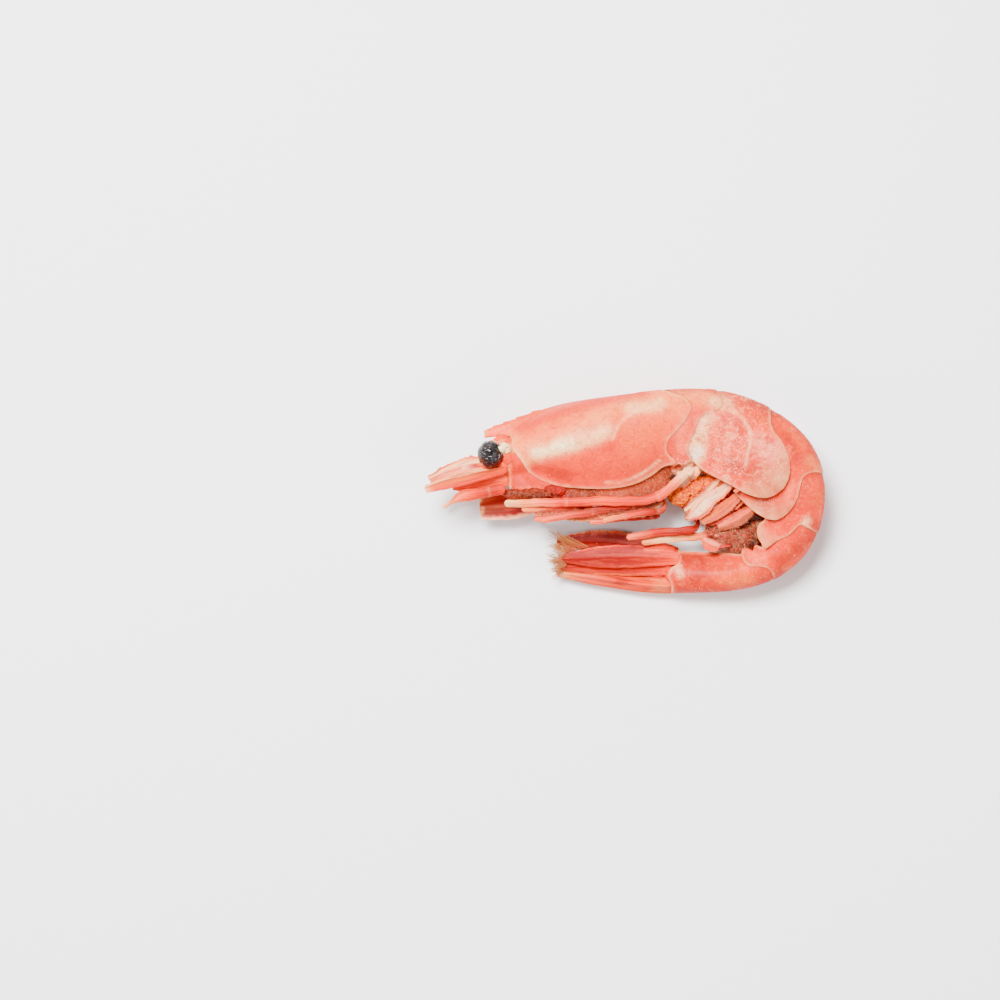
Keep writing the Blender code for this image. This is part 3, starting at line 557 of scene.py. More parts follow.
class Finish:
    """A material under way: its shader, and its places on the object in millimetres."""

    def __init__(self, name, constants):
        self.material = bpy.data.materials.new(name)
        self.material.use_nodes = True
        self.tree = self.material.node_tree
        self.shader = self.tree.nodes["Principled BSDF"]
        for socket, value in constants.items():
            self.shader.inputs[socket].default_value = value
        place = self.node("ShaderNodeTexCoord").outputs["Object"]
        self.place = self.node("ShaderNodeVectorMath", {"operation": "SCALE"},
                               {"Vector": place, "Scale": 1 / MM}).outputs[0]

    def node(self, kind, settings=None, inputs=None):
        """One node, with its settings made first and then the values or links of its sockets."""
        made = self.tree.nodes.new(kind)
        for name, value in (settings or {}).items():
            setattr(made, name, value)
        for name, value in (inputs or {}).items():
            value = value.socket if isinstance(value, Value) else value
            if isinstance(value, bpy.types.NodeSocket):
                self.tree.links.new(value, made.inputs[name])
            else:
                made.inputs[name].default_value = value
        return made

    def maths(self, operation, first, second):
        """One Math node on two numbers."""
        made = self.node("ShaderNodeMath", {"operation": operation}, {0: first, 1: second})
        return Value(self, made.outputs[0])

    def number(self, name):
        """A number written on the piece."""
        made = self.node("ShaderNodeAttribute", {"attribute_name": name})
        return Value(self, made.outputs["Fac"])

    def colour(self, name):
        """A colour written on the piece."""
        return self.node("ShaderNodeAttribute", {"attribute_name": name}).outputs["Color"]

    def grain(self, scale, detail=2.0, distortion=0.0):
        """Noise with the given number of bumps to a millimetre."""
        made = self.node("ShaderNodeTexNoise", {}, {
            "Vector": self.place, "Scale": scale, "Detail": detail, "Distortion": distortion})
        return Value(self, made.outputs["Fac"])

    def dots(self, scale, size, share):
        """Round dots in some of the cells: cells to a millimetre, size in cells, share of them."""
        made = self.node("ShaderNodeTexVoronoi", {}, {
            "Vector": self.place, "Scale": scale, "Randomness": 1.0})
        near = self.step(Value(self, made.outputs["Distance"]), size, size * 0.5)
        chosen = self.node("ShaderNodeSeparateColor", {}, {"Color": made.outputs["Color"]})
        return near * self.step(Value(self, chosen.outputs[0]), share, share - 0.05)

    def step(self, value, low, high):
        """0 at low and 1 at high, with a soft rise between them."""
        made = self.node("ShaderNodeMapRange", {"interpolation_type": "SMOOTHSTEP"}, {
            "Value": value, "From Min": low, "From Max": high})
        return Value(self, made.outputs["Result"])

    def mix(self, share, under, over):
        """Colour over colour by a share."""
        sockets = {0: share}
        for place, colour in ((6, under), (7, over)):
            sockets[place] = (*colour, 1) if isinstance(colour, tuple) else colour
        made = self.node("ShaderNodeMix", {"data_type": "RGBA"}, sockets)
        return made.outputs[2]

    def bumped(self, *layers):
        """A normal with layers of relief: a height from 0 to 1 and its depth in millimetres."""
        normal = None
        for height, depth in layers:
            inputs = {"Height": height, "Distance": depth * MM, "Strength": 1.0}
            if normal:
                inputs["Normal"] = normal
            normal = self.node("ShaderNodeBump", {}, inputs).outputs["Normal"]
        self.tree.links.new(normal, self.shader.inputs["Normal"])

    def feed(self, socket, value):
        """Drives one socket of the shader."""
        value = value.socket if isinstance(value, Value) else value
        self.tree.links.new(value, self.shader.inputs[socket])


WET = {"Coat Weight": 0.1, "Coat Roughness": 0.38, "Specular IOR Level": 0.08, "IOR": 1.4}
FLESHY = {"Subsurface Weight": 0.3, "Subsurface Radius": (1.0, 0.42, 0.26),
          "Subsurface Scale": 0.9 * MM}


def shell_finish():
    """Cooked shell: painted tones, fine red specks, pale veins and a damp, uneven gloss."""
    shell = Finish("cooked_shell", {**WET, **FLESHY})
    cloud = shell.grain(0.8, 5.0, 0.6)
    mottle = shell.grain(2.4, 4.0, 0.4)
    fine = shell.grain(7.0, 3.0)
    fleck, lace = shell.number("fleck"), shell.number("lace")
    patch = shell.grain(1.3, 5.0, 1.0)
    colour = shell.mix(shell.step(cloud, 0.48, 0.75) * 0.35, shell.colour("tone"), CORAL)
    colour = shell.mix(shell.step(cloud, 0.5, 0.28) * 0.35, colour, PEACH)
    colour = shell.mix(shell.step(patch, 0.52, 0.66) * lace * 0.6, colour, CORAL)
    colour = shell.mix(shell.step(patch, 0.47, 0.34) * lace * 0.4, colour, PALE)
    colour = shell.mix(shell.step(mottle, 0.52, 0.68) * 0.4, colour, CORAL)
    colour = shell.mix(shell.step(mottle, 0.46, 0.3) * 0.14, colour, ROSE)
    specks = shell.dots(4.8, 0.36, 0.8) * fleck
    small = shell.dots(8.4, 0.44, 0.95) * fleck
    colour = shell.mix(specks * 0.55, colour, RUST)
    colour = shell.mix(small * 0.55, colour, RUST)
    web = shell.grain(2.6, 6.0, 2.0)
    net = shell.step(web, 0.49, 0.5) * shell.step(web, 0.515, 0.505)
    colour = shell.mix(net * lace * 0.45, colour, PALE)
    colour = shell.mix(shell.dots(4.3, 0.28, 0.15) * 0.3, colour, ROSE)
    colour = shell.mix(shell.number("rim") * 0.6, colour, PALE)
    colour = shell.mix(shell.number("seam") * 0.85, colour, RUST)
    shell.feed("Base Color", colour)
    shell.feed("Roughness", 0.3 + 0.3 * shell.grain(2.2, 3.0))
    shell.bumped((cloud, 0.12), (mottle, 0.08), (fine, 0.03), (specks, 0.015))
    return shell.material


def limb_finish():
    """Leg shell: painted tones with lengthwise streaks and pale scuffs."""
    limb = Finish("limb_shell", {**WET, **FLESHY, "Coat Weight": 0.06})
    cloud = limb.grain(1.5, 4.0, 0.5)
    stretched = limb.node("ShaderNodeCombineXYZ", {}, {
        "X": limb.number("across") * 3.2, "Y": limb.number("along") * 0.22}).outputs[0]
    streak = Value(limb, limb.node("ShaderNodeTexNoise", {"noise_dimensions": "2D"}, {
        "Vector": stretched, "Scale": 1.0, "Detail": 4.0}).outputs["Fac"])
    colour = limb.mix(limb.step(streak, 0.5, 0.68) * 0.6, limb.colour("tone"), RED)
    colour = limb.mix(limb.step(streak, 0.47, 0.3) * 0.14, colour, ROSE)
    colour = limb.mix(limb.step(cloud, 0.56, 0.75) * 0.08, colour, ROSE)
    colour = limb.mix(limb.dots(4.5, 0.28, 0.15) * 0.4, colour, ROSE)
    specks = limb.dots(4.5, 0.34, 0.5) * limb.number("fleck")
    colour = limb.mix(specks * 0.6, colour, RUST)
    limb.feed("Base Color", colour)
    limb.feed("Roughness", 0.28 + 0.3 * cloud)
    limb.bumped((streak, 0.08), (limb.grain(5.0, 3.0), 0.04))
    return limb.material


def eye_finish():
    """Black eye with a fine net of facets, a grey and purple bloom in patches, and painted highlights that
    stand in for reflections.
    """
    eye = Finish("eye_black", {"Coat Weight": 0.4, "Coat Roughness": 0.08, "Specular IOR Level": 0.2})
    bloom = eye.grain(1.1, 4.0, 1.2)
    dots = eye.dots(5.0, 0.42, 0.7)
    # Painted highlights: grey-white patches in the colour, standing in for the lamp's reflections on the
    # bumpy eye
    painted_glint = eye.step(eye.grain(2.6, 5.0, 0.6), 0.6, 0.67)
    colour = eye.mix(eye.step(bloom, 0.5, 0.62), BLACK, GREY)
    colour = eye.mix(eye.step(bloom, 0.56, 0.72) * dots * 0.3, colour, LILAC)
    colour = eye.mix(painted_glint * 0.9, colour, EYE_PAINTED_GLINT)
    eye.feed("Base Color", colour)
    eye.feed("Roughness", 0.16 + 0.35 * bloom)
    eye.bumped((bloom, 0.9), (eye.grain(3.5, 3.0), 0.25), (dots, 0.03))
    return eye.material


def egg_finish():
    """Wet translucent egg, each a little lighter or darker than the next."""
    egg = Finish("roe_egg", {**WET, "Coat Weight": 0.05, "Subsurface Weight": 0.15,
                             "Subsurface Radius": (1.0, 0.45, 0.1), "Subsurface Scale": 0.6 * MM})
    tint = egg.number("tint")
    colour = egg.mix(tint, EGG_DEEP, EGG_BRIGHT)
    colour = egg.mix(egg.step(tint, 0.8, 0.99) * 0.6, colour, EGG_PALE)
    egg.feed("Base Color", colour)
    egg.feed("Roughness", 0.3 + 0.3 * egg.grain(3.0))
    return egg.material


def flesh_finish():
    """Soft wet tissue between the legs."""
    flesh = Finish("soft_tissue", {**WET, **FLESHY, "Coat Weight": 0.03})
    cloud = flesh.grain(1.8, 4.0, 1.0)
    dark = flesh.step(cloud, 0.4, 0.65) * flesh.number("dark")
    colour = flesh.mix(dark, flesh.colour("tone"), MAROON)
    colour = flesh.mix(flesh.step(cloud, 0.42, 0.25) * 0.4, colour, SALMON)
    colour = flesh.mix(flesh.dots(4.4, 0.24, 0.2) * 0.25, colour, ROSE)
    flesh.feed("Base Color", colour)
    flesh.feed("Roughness", 0.3 + 0.3 * cloud)
    flesh.bumped((cloud, 0.14), (flesh.grain(6.0, 3.0), 0.05))
    return flesh.material


def bristle_finish(name, root, tip):
    """Stiff translucent hairs."""
    bristle = Finish(name, {"Subsurface Weight": 0.3, "Subsurface Radius": (1.0, 0.5, 0.3),
                            "Subsurface Scale": 0.3 * MM, "Specular IOR Level": 0.5})
    colour = bristle.mix(bristle.number("tint"), root, tip)
    bristle.feed("Base Color", colour)
    bristle.feed("Roughness", 0.35 + 0.2 * bristle.grain(3.0))
    return bristle.material


def frost_finish():
    """Grains of ice: white, a little clear, and sharp in their gloss."""
    frost = Finish("frost", {"Transmission Weight": 0.2, "IOR": 1.31, "Coat Weight": 0.3})
    frost.feed("Base Color", frost.mix(frost.number("tint"), ICE, WHITE))
    frost.feed("Roughness", 0.12 + 0.3 * frost.grain(6.0))
    return frost.material


# Plates


def rises(line_lengths, start, end):
    """How far the back stands proud along one plate: sunk in front, lifted behind."""
    share = np.clip((line_lengths - start) / (end - start), 0, 1)
    return -SUNK * (1 - share) ** SUNK_FADE + LIP_HEIGHT * share**LIP_FADE


def paint_plate(piece, base, washes, rims, seams=(), flecks=(), fleck=0.35, lace=0.0):
    """Writes the tones, specks, veins, pale rims and rusty seams of a plate."""
    points = drawn(piece)
    flat = points[:, :2]
    rim, seam = np.zeros(len(points)), np.zeros(len(points))
    for line, spread in rims:
        rim = np.maximum(rim, beside(flat, line, spread))
    for line, spread in seams:
        seam = np.maximum(seam, beside(flat, line, spread))
    density = np.full(len(points), fleck)
    for line, spread, more in flecks:
        density += more * beside(flat, line, spread)
    uneven = 0.75 + 0.6 * waves(points, 1.1, seed=21)
    write_attributes(piece, washed(points, base, washes), rim=rim * np.clip(uneven, 0, 1),
                     seam=seam * np.clip(uneven, 0, 1), fleck=np.clip(density, 0, 1), lace=lace)


def carapace(material):
    """Head shield with the rostrum's toothed blade in front."""
    between = [length for length in stations(0, CARAPACE_END)
               if np.abs(length - np.array(TEETH)).min() > TOOTH_CLEAR]
    lengths = np.sort(np.concatenate([between, TEETH, np.subtract(TEETH, TOOTH_FRONT)]))
    sharp = lengths > TEETH[-1] + TOOTH_LENGTH
    spike = np.zeros(len(lengths))
    for tooth in TEETH:
        behind = lengths - tooth
        spike = np.maximum(spike, np.where(behind >= 0, 1 - behind / TOOTH_LENGTH, 0))
    lift = TOOTH_HEIGHT * spike + np.where(sharp, rises(lengths, 8, CARAPACE_END), 0)
    back = along_back(lengths) - inward_at(lengths) * lift[:, None]
    rear = edge(REAR_OF_CARAPACE)
    rear = clear_of_back(rear, back[-1])
    under = edge(UNDER_CARAPACE)
    under[-1] = rear[-1]
    front = edge(FRONT_OF_CARAPACE)
    blade_floor = edge(UNDER_ROSTRUM)
    rim = np.vstack([rear[1:], under[-2::-1], front[-2::-1], blade_floor[::-1], back[~sharp]])
    border = edge([(4.6, 12.6), (4.0, 11.8), (1.6, 10.9), (-0.1, 10.0), (-1.2, 8.8), (-2.0, 7.0)])
    ridge = edge([(-13.6, 5.6), (-11.7, 5.2), (-8.3, 6.2), (-4.9, 7.2), (-2.2, 8.6)])
    low_fold = edge([(-8.5, 2.0), (-3.0, 1.6), (1.5, 2.6), (4.6, 4.6)])
    low_line = edge([(-3.0, 1.1), (-0.5, 1.3), (2.0, 2.4), (4.4, 4.2)])
    piece = plate("carapace_shell", back[sharp], rim, (0, CARAPACE_END + 4), lifts=[
        (rear, LIP_HEIGHT, 0.6), (border, 0.12, 0.4), (ridge, 0.16, 1.2), (low_fold, -0.1, 0.7),
        (front, 0.1, 0.35), (under, 0.1, 0.4)])
    washes = [
        ([(-15.5, 6.9), (-11.0, 8.6), (-4.0, 11.0), (2.0, 12.6), (6.5, 12.2)], 2.6, CREAM, 0.9),
        # On the next line: the shell's own band along the back, made deeper as painted shade where the back
        # rounds away from the light
        ([(-14.4, 8.6), (-9.0, 10.6), (-3.5, 12.6), (2.0, 13.5)], 1.1, SALMON, 0.95),
        ([(-19.3, 8.2), (-16.4, 8.4)], 0.6, ROSE, 0.8),
        # On the next line: painted shade along the underside of the rostrum's base
        ([(-17.4, 7.7), (-15.6, 7.2)], 0.25, CORAL, 0.7),
        ([(-19.4, 8.2), (-19.4, 7.3)], 0.3, PALE, 0.9),
        # Painted highlight, on this line and the next two: a pale band with buttery spots along the middle
        # of the shield's side, where the light falls brightest
        ([(-12.6, 4.9), (-8.3, 6.1), (-4.9, 7.2), (-3.0, 8.2)], 1.2, PALE, 0.85),
        ([(-12.4, 5.2), (-11.2, 5.4)], 0.55, HIGHLIGHT_BUTTER, 0.8),
        ([(-9.6, 5.8), (-7.6, 6.3)], 0.75, HIGHLIGHT_BUTTER, 0.9),
        ([(-15.4, 5.4), (-14.3, 4.1), (-13.4, 2.7)], 0.28, PALE, 0.9),
        ([(1.0, 7.4), (4.2, 9.6)], 2.7, APRICOT, 0.85), ([(1.0, 4.6), (4.6, 6.4)], 1.6, AMBER, 0.6),
        ([(-10.1, 2.6), (-8.6, 2.3)], 1.1, CORAL, 0.9),
        ([(-12.4, 3.2), (-10.4, 1.6)], 0.8, SALMON, 0.8),
        ([(-4.0, 2.6), (1.5, 3.3), (4.0, 5.4)], 1.5, BRICK, 0.6),
        ([(0.5, 1.2), (2.8, 2.2), (4.8, 3.8)], 0.7, TAN, 0.7),
        ([(-9.0, 4.2), (-3.0, 4.6)], 1.0, PEACH, 0.5),
        # On the next line: a brown spot, then a painted highlight on the top rear of the shield
        ([(-15.7, 5.3)], 0.5, RUST, 0.8), ([(0.5, 11.2), (4.5, 11.6)], 0.9, PALE, 0.7),
        ([(-14.0, 7.2), (-9.5, 8.6), (-6.0, 10.2)], 0.4, PINK, 0.5),
        ([(-12.0, 7.0), (-7.0, 9.0)], 0.35, ROSE, 0.5),
        ([(-14.6, 5.4), (-13.4, 4.0)], 0.7, CREAM, 0.8),
    ]
    rims = [(front, 0.35), (under, 0.22), (rear, 0.25), (border, 0.22), (low_line, 0.14)]
    flecks = [([(-4.0, 3.0), (2.0, 5.0)], 5.0, 0.65), ([(1.0, 8.0), (2.0, 8.5)], 2.5, 0.4)]
    paint_plate(piece, SALMON, washes, rims, flecks=flecks, fleck=0.2)
    return finish_piece(piece, material, "shell", "carapace")


def ring(number, front_points, rear_points, under_points, wrinkles=()):
    """One ring of the abdomen with its side flaps, tucked under the plate in front, and its edges."""
    start, end = PLATE_ENDS[number - 1] - OVERLAP, PLATE_ENDS[number]
    front = pulled_in(edge(front_points), -OVERLAP)
    rear = edge(rear_points)
    lengths = stations(start, end)
    back = along_back(lengths) - inward_at(lengths) * rises(lengths, start, end)[:, None]
    front, rear = clear_of_back(front, back[0]), clear_of_back(rear, back[-1])
    under = edge(under_points)
    under[0], under[-1] = front[-1], rear[-1]
    rim = np.vstack([rear[1:], under[-2:0:-1], front[:0:-1]])
    lifts = [(front, -SUNK - LIP_HEIGHT, 0.7), (rear, LIP_HEIGHT, 0.55), (under, 0.06, 0.4)]
    piece = plate(f"ring_{number}", back, rim, (start - 4, end + 4), lifts=[*lifts, *wrinkles])
    return piece, rear, under, edge(front_points)


def belly_cutter():
    """The open channel between the left and right flaps."""
    roof, mouth = edge(CHANNEL_ROOF), edge(CHANNEL_MOUTH)
    return plate("belly_cutter", roof[:0], np.vstack([roof, mouth[::-1]]), BELLY_REACH,
                 less=FLAP_THICKNESS, swell=0)


def carved(piece, cutter):
    """Cuts the belly channel out of a ring, for good."""
    channel = piece.modifiers.new("belly channel", "BOOLEAN")
    channel.solver = "EXACT"
    channel.object = cutter
    bpy.context.view_layer.update()
    seen = piece.evaluated_get(bpy.context.evaluated_depsgraph_get())
    whole = piece.data
    piece.data = bpy.data.meshes.new_from_object(seen)
    piece.modifiers.clear()
    bpy.data.meshes.remove(whole)


def abdomen(material):
    """The six rings, their colours and their wrinkles."""
    cutter = belly_cutter()
    under_1 = [REAR_OF_CARAPACE[-1], (7.6, 3.5), REAR_OF_1[-1]]
    front_of_3 = REAR_OF_2 + UNDER_2[-2:3:-1] + UNDER_3[:1]
    lens = edge([(10.6, 10.6), (12.2, 11.3), (13.2, 11.2), (14.9, 10.4), (16.1, 9.0), (16.6, 7.0),
                 (16.2, 4.9), (15.9, 3.4)])
    flap_fold = edge([(9.4, 4.6), (12.0, 3.3), (14.6, 1.9), (17.0, 0.9), (19.6, 1.0)])
    fold_4 = edge([(24.9, -3.4), (22.6, -3.9), (20.6, -4.6)])
    fold_5 = edge([(22.8, -9.0), (20.6, -8.6), (18.8, -8.9)])
    rings = {
        1: (ring(1, REAR_OF_CARAPACE, REAR_OF_1, under_1), SALMON, [
            ([(7.4, 12.6), (10.5, 12.4)], 1.3, CREAM, 0.9),
            ([(11.4, 12.2), (12.3, 11.9)], 0.8, PALE, 0.7),
            ([(8.6, 11.6), (9.5, 10.8)], 0.6, PINK, 0.5),
            ([(6.2, 7.4), (6.6, 5.4)], 0.5, CORAL, 0.5), ([(7.2, 8.8), (7.2, 6.0)], 1.0, ROSE, 0.7)]),
        2: (ring(2, REAR_OF_1, REAR_OF_2, UNDER_2, [(lens, 0.16, 0.35), (flap_fold, -0.1, 0.5)]), PINK, [
            ([(14.0, 12.6), (17.0, 11.4)], 0.8, SALMON, 0.8),
            # On the next line: painted shade, a darker orange-brown at the rear of the back, where the ring
            # rounds away from the light
            ([(17.2, 12.0), (19.0, 11.0)], 0.9, FLAME, 0.8),
            ([(12.2, 12.2), (13.6, 11.8)], 1.0, PALE, 0.6),
            ([(17.4, 10.4), (18.4, 8.0)], 1.0, PEACH, 0.6), ([(18.2, 9.6)], 0.6, ORANGE, 0.5),
            ([(10.6, 9.8), (9.4, 7.0), (9.2, 4.8)], 1.3, PALE, 1.0),
            ([(9.6, 5.4), (9.0, 4.6)], 0.6, ICE, 0.6),
            ([(13.6, 6.0), (12.6, 8.4)], 2.0, ROSE, 0.6), ([(12.6, 9.8), (15.4, 8.6)], 0.9, CORAL, 0.4),
            ([(14.0, 3.6), (16.4, 2.6), (17.6, 3.4)], 0.8, CORAL, 0.75),
            ([(20.0, 5.6), (20.4, 2.4)], 1.2, LILAC, 0.9),
            ([(17.6, 7.0), (18.4, 5.0)], 1.1, LILAC, 0.7), ([(18.4, 1.0), (20.2, 0.8)], 0.7, ROSE, 0.8),
            ([(11.6, 3.2), (14.0, 1.9)], 0.6, PEACH, 0.7)]),
        3: (ring(3, front_of_3, REAR_OF_3, UNDER_3), SALMON, [
            ([(20.8, 9.6), (23.6, 6.2)], 1.0, PEACH, 0.8),
            # On the next line: painted shade, a darker orange-brown along the front of the back, where the
            # ring rounds away from the light
            ([(18.6, 12.0), (20.4, 11.0)], 1.3, FLAME, 0.8),
            ([(21.6, 7.4), (22.8, 4.4)], 0.8, CORAL, 0.75),
            ([(22.4, 0.8), (21.4, -1.6), (19.6, -2.9)], 0.7, ROSE, 0.7),
            ([(24.6, 4.2), (26.0, 2.8)], 0.8, CREAM, 0.6),
            ([(22.6, 8.4), (23.8, 7.0)], 0.9, ORANGE, 0.3),
            ([(18.0, -1.8), (19.6, -1.4)], 0.9, CORAL, 0.6)]),
        4: (ring(4, REAR_OF_3, REAR_OF_4, UNDER_4, [(fold_4, 0.1, 0.4)]), SALMON, [
            ([(25.6, 1.0), (26.2, -3.0)], 1.0, PEACH, 0.8),
            ([(23.6, 0.0), (22.8, -2.4)], 0.8, CORAL, 0.6),
            ([(24.4, -4.0), (24.0, -4.6)], 0.5, PALE, 0.8),
            ([(26.0, -0.4), (25.6, -1.6)], 0.8, ORANGE, 0.3),
            ([(20.4, -5.2), (19.4, -6.4)], 1.0, PINK, 0.6)]),
        5: (ring(5, REAR_OF_4, REAR_OF_5, UNDER_5, [(fold_5, 0.1, 0.4)]), SALMON, [
            ([(24.9, -7.6), (22.2, -10.6)], 0.6, PEACH, 0.7),
            ([(18.4, -9.2), (17.2, -9.0)], 0.9, ROSE, 0.8), ([(22.6, -10.4)], 0.9, ORANGE, 0.3),
            # On the next line: painted shade, a darker orange-brown near the back, where the ring rounds
            # away from the light
            ([(23.6, -7.6), (21.0, -9.0)], 0.9, FLAME, 0.7)]),
        6: (ring(6, REAR_OF_5, REAR_OF_6, UNDER_6), SALMON, [
            ([(10.4, -9.4), (8.2, -9.2)], 0.8, RED, 0.7),
            ([(10.6, -11.6), (8.8, -10.6)], 1.6, CORAL, 0.95), ([(9.6, -11.9)], 0.9, FLAME, 0.6),
            ([(16.4, -10.6), (13.0, -11.4)], 1.4, PEACH, 0.8),
            ([(17.2, -12.2), (14.6, -12.8)], 0.8, CREAM, 0.3),
            ([(16.6, -11.4), (13.2, -11.8)], 1.2, ORANGE, 0.35),
            ([(7.6, -11.6), (7.2, -10.4)], 0.5, PALE, 0.6),
            ([(14.6, -10.6), (11.0, -10.8)], 0.8, CORAL, 0.5)]),
    }
    pieces = []
    for number, ((piece, rear, under, front), base, washes) in rings.items():
        if number < 6:
            carved(piece, cutter)
        rims = [(rear, 0.2), (under, 0.2)]
        if number == 2:
            rims.append((lens, 0.22))
        # Painted shade: a deeper coral along each ring's back, where its rounded top turns away from the
        # light
        ridge = along_back(stations(PLATE_ENDS[number - 1] - OVERLAP, PLATE_ENDS[number], 0.8))
        washes = [(ridge, 1.9, CORAL, 0.9), *washes]
        paint_plate(piece, base, washes, rims, seams=[(front, 0.16)],
                    flecks=[([(12.0, 8.0), (15.5, 4.0)], 4.5, 0.75)], fleck=0.25,
                    lace=1.0 if number == 2 else 0.28)
        pieces.append(finish_piece(piece, material, "shell", f"abdomen_{number}"))
    remove(cutter)
    return pieces


# Head


def head_block(material):
    """Base of the feelers, in front of the carapace, with its upright suture."""
    front, rear = edge(HEAD_FRONT), edge(np.add(HEAD_REAR, TUCK))
    under = edge([*UNDER_HEAD, HEAD_REAR[-1] + np.array(TUCK)])
    suture = edge([(-15.7, 4.2), (-15.9, 2.5), (-15.7, 0.4)])
    groove = edge([(-14.8, 2.6), (-13.4, 1.2), (-12.4, 0.2)])
    rim = np.vstack([rear, under[-2::-1], front[-2:0:-1]])
    piece = plate("head_block", front[:1], rim, (0, CARAPACE_END), share=0.92, lifts=[
        (suture, 0.22, 0.3), (groove, -0.15, 0.4), (front, 0.1, 0.4)])
    washes = [([(-15.9, 3.8), (-15.8, 0.6)], 0.22, CREAM, 0.8), ([(-14.8, 4.2)], 0.8, PEACH, 0.6),
              ([(-16.4, 2.0), (-16.0, 0.8)], 0.4, CORAL, 0.5),
              ([(-15.0, 0.4), (-12.0, 0.3)], 0.3, ROSE, 0.6)]
    paint_plate(piece, TOMATO, washes, [(front, 0.2)], fleck=0.2)
    return finish_piece(piece, material, "shell", "head")


# Limbs, leaves and eyes


def tube_faces(rows, sides, start=0):
    """Faces round a tube whose points are counted row by row, from a start."""
    return [(start + k * sides + j, start + k * sides + (j + 1) % sides,
             start + (k + 1) * sides + (j + 1) % sides, start + (k + 1) * sides + j)
            for k in range(rows - 1) for j in range(sides)]


def end_faces(rows, sides, start=0):
    """The flat ends of a tube whose points are counted row by row, from a start."""
    last = start + (rows - 1) * sides
    return [tuple(range(start, start + sides))[::-1], tuple(range(last, last + sides))]


def swept(name, centres, widths, thicks, facing, sides, profile=None):
    """Closed tube or leaf through the centres, and each point's place across and along it."""
    ahead = np.gradient(centres, axis=0)
    ahead /= np.linalg.norm(ahead, axis=1)[:, None]
    facing = np.asarray(facing, float) - ahead * (ahead @ np.asarray(facing, float))[:, None]
    facing /= np.linalg.norm(facing, axis=1)[:, None]
    normal = np.cross(ahead, facing)
    turns = np.arange(sides) * 2 * pi / sides
    side, rise = np.cos(turns), np.sin(turns)
    if profile:
        rise = rise * profile(side)
    points = (centres[:, None] + facing[:, None] * (widths[:, None] * side)[..., None]
              + normal[:, None] * (thicks[:, None] * rise)[..., None]).reshape(-1, 3)
    count = len(centres)
    faces = tube_faces(count, sides)
    tips = np.array([centres[0] - ahead[0] * thicks[0] * 0.6,
                     centres[-1] + ahead[-1] * thicks[-1] * 0.6])
    first, last = len(points), len(points) + 1
    faces += [(first, (j + 1) % sides, j) for j in range(sides)]
    top = (count - 1) * sides
    faces += [(last, top + j, top + (j + 1) % sides) for j in range(sides)]
    piece = from_faces(name, np.vstack([points, tips]), faces)
    run = chord_lengths(centres)
    along = np.concatenate([np.repeat(run, sides), [0, run[-1]]])
    across = np.concatenate([np.tile(side, count), [0, 0]])
    return piece, across, along


def limb(node, material, stops, tones, knees):
    """Jointed leg or feeler through stops of place and radius, with its tones from base to tip."""
    stops = np.asarray(stops, float)
    run = chord_lengths(stops[:, :3])
    at = np.linspace(0, run[-1], int(run[-1] / LIMB_STEP))
    values = smooth(run, stops, at)
    centres, radii = values[:, :3], values[:, 3].copy()
    for knee in knees:
        off = (at - knee * run[-1]) / KNEE_WIDTH
        radii *= 1 + 0.05 * np.exp(-(off**2)) - 0.1 * np.exp(-(((off - 1.4) / 0.4) ** 2))
    wander = np.column_stack([waves_along(at, 2.2, seed=31, row=row) for row in range(3)])
    centres = centres + WANDER * wander
    ends = np.clip(np.minimum(at, run[-1] - at) / radii, 0, 1)
    radii *= 0.3 + 0.7 * np.sqrt(1 - (1 - ends) ** 2)
    radii *= 1.08 + 0.16 * waves_along(at, 0.9, seed=33)
    piece, across, along = swept(f"{node}_shell", centres, radii, radii * LIMB_FLATNESS,
                                 (0.1, 1, 0.2), LIMB_SIDES)
    shades = tones_at(along, np.linspace(0, run[-1], len(tones)), tones)
    for knee in knees:
        share = 0.14 * np.exp(-(((along - knee * run[-1]) / 0.2) ** 2))[:, None]
        shades = shades * (1 - share) + np.array(PALE) * share
    write_attributes(piece, shades, across=across, along=along, fleck=0.3)
    finish_piece(piece, material, "leg", node)


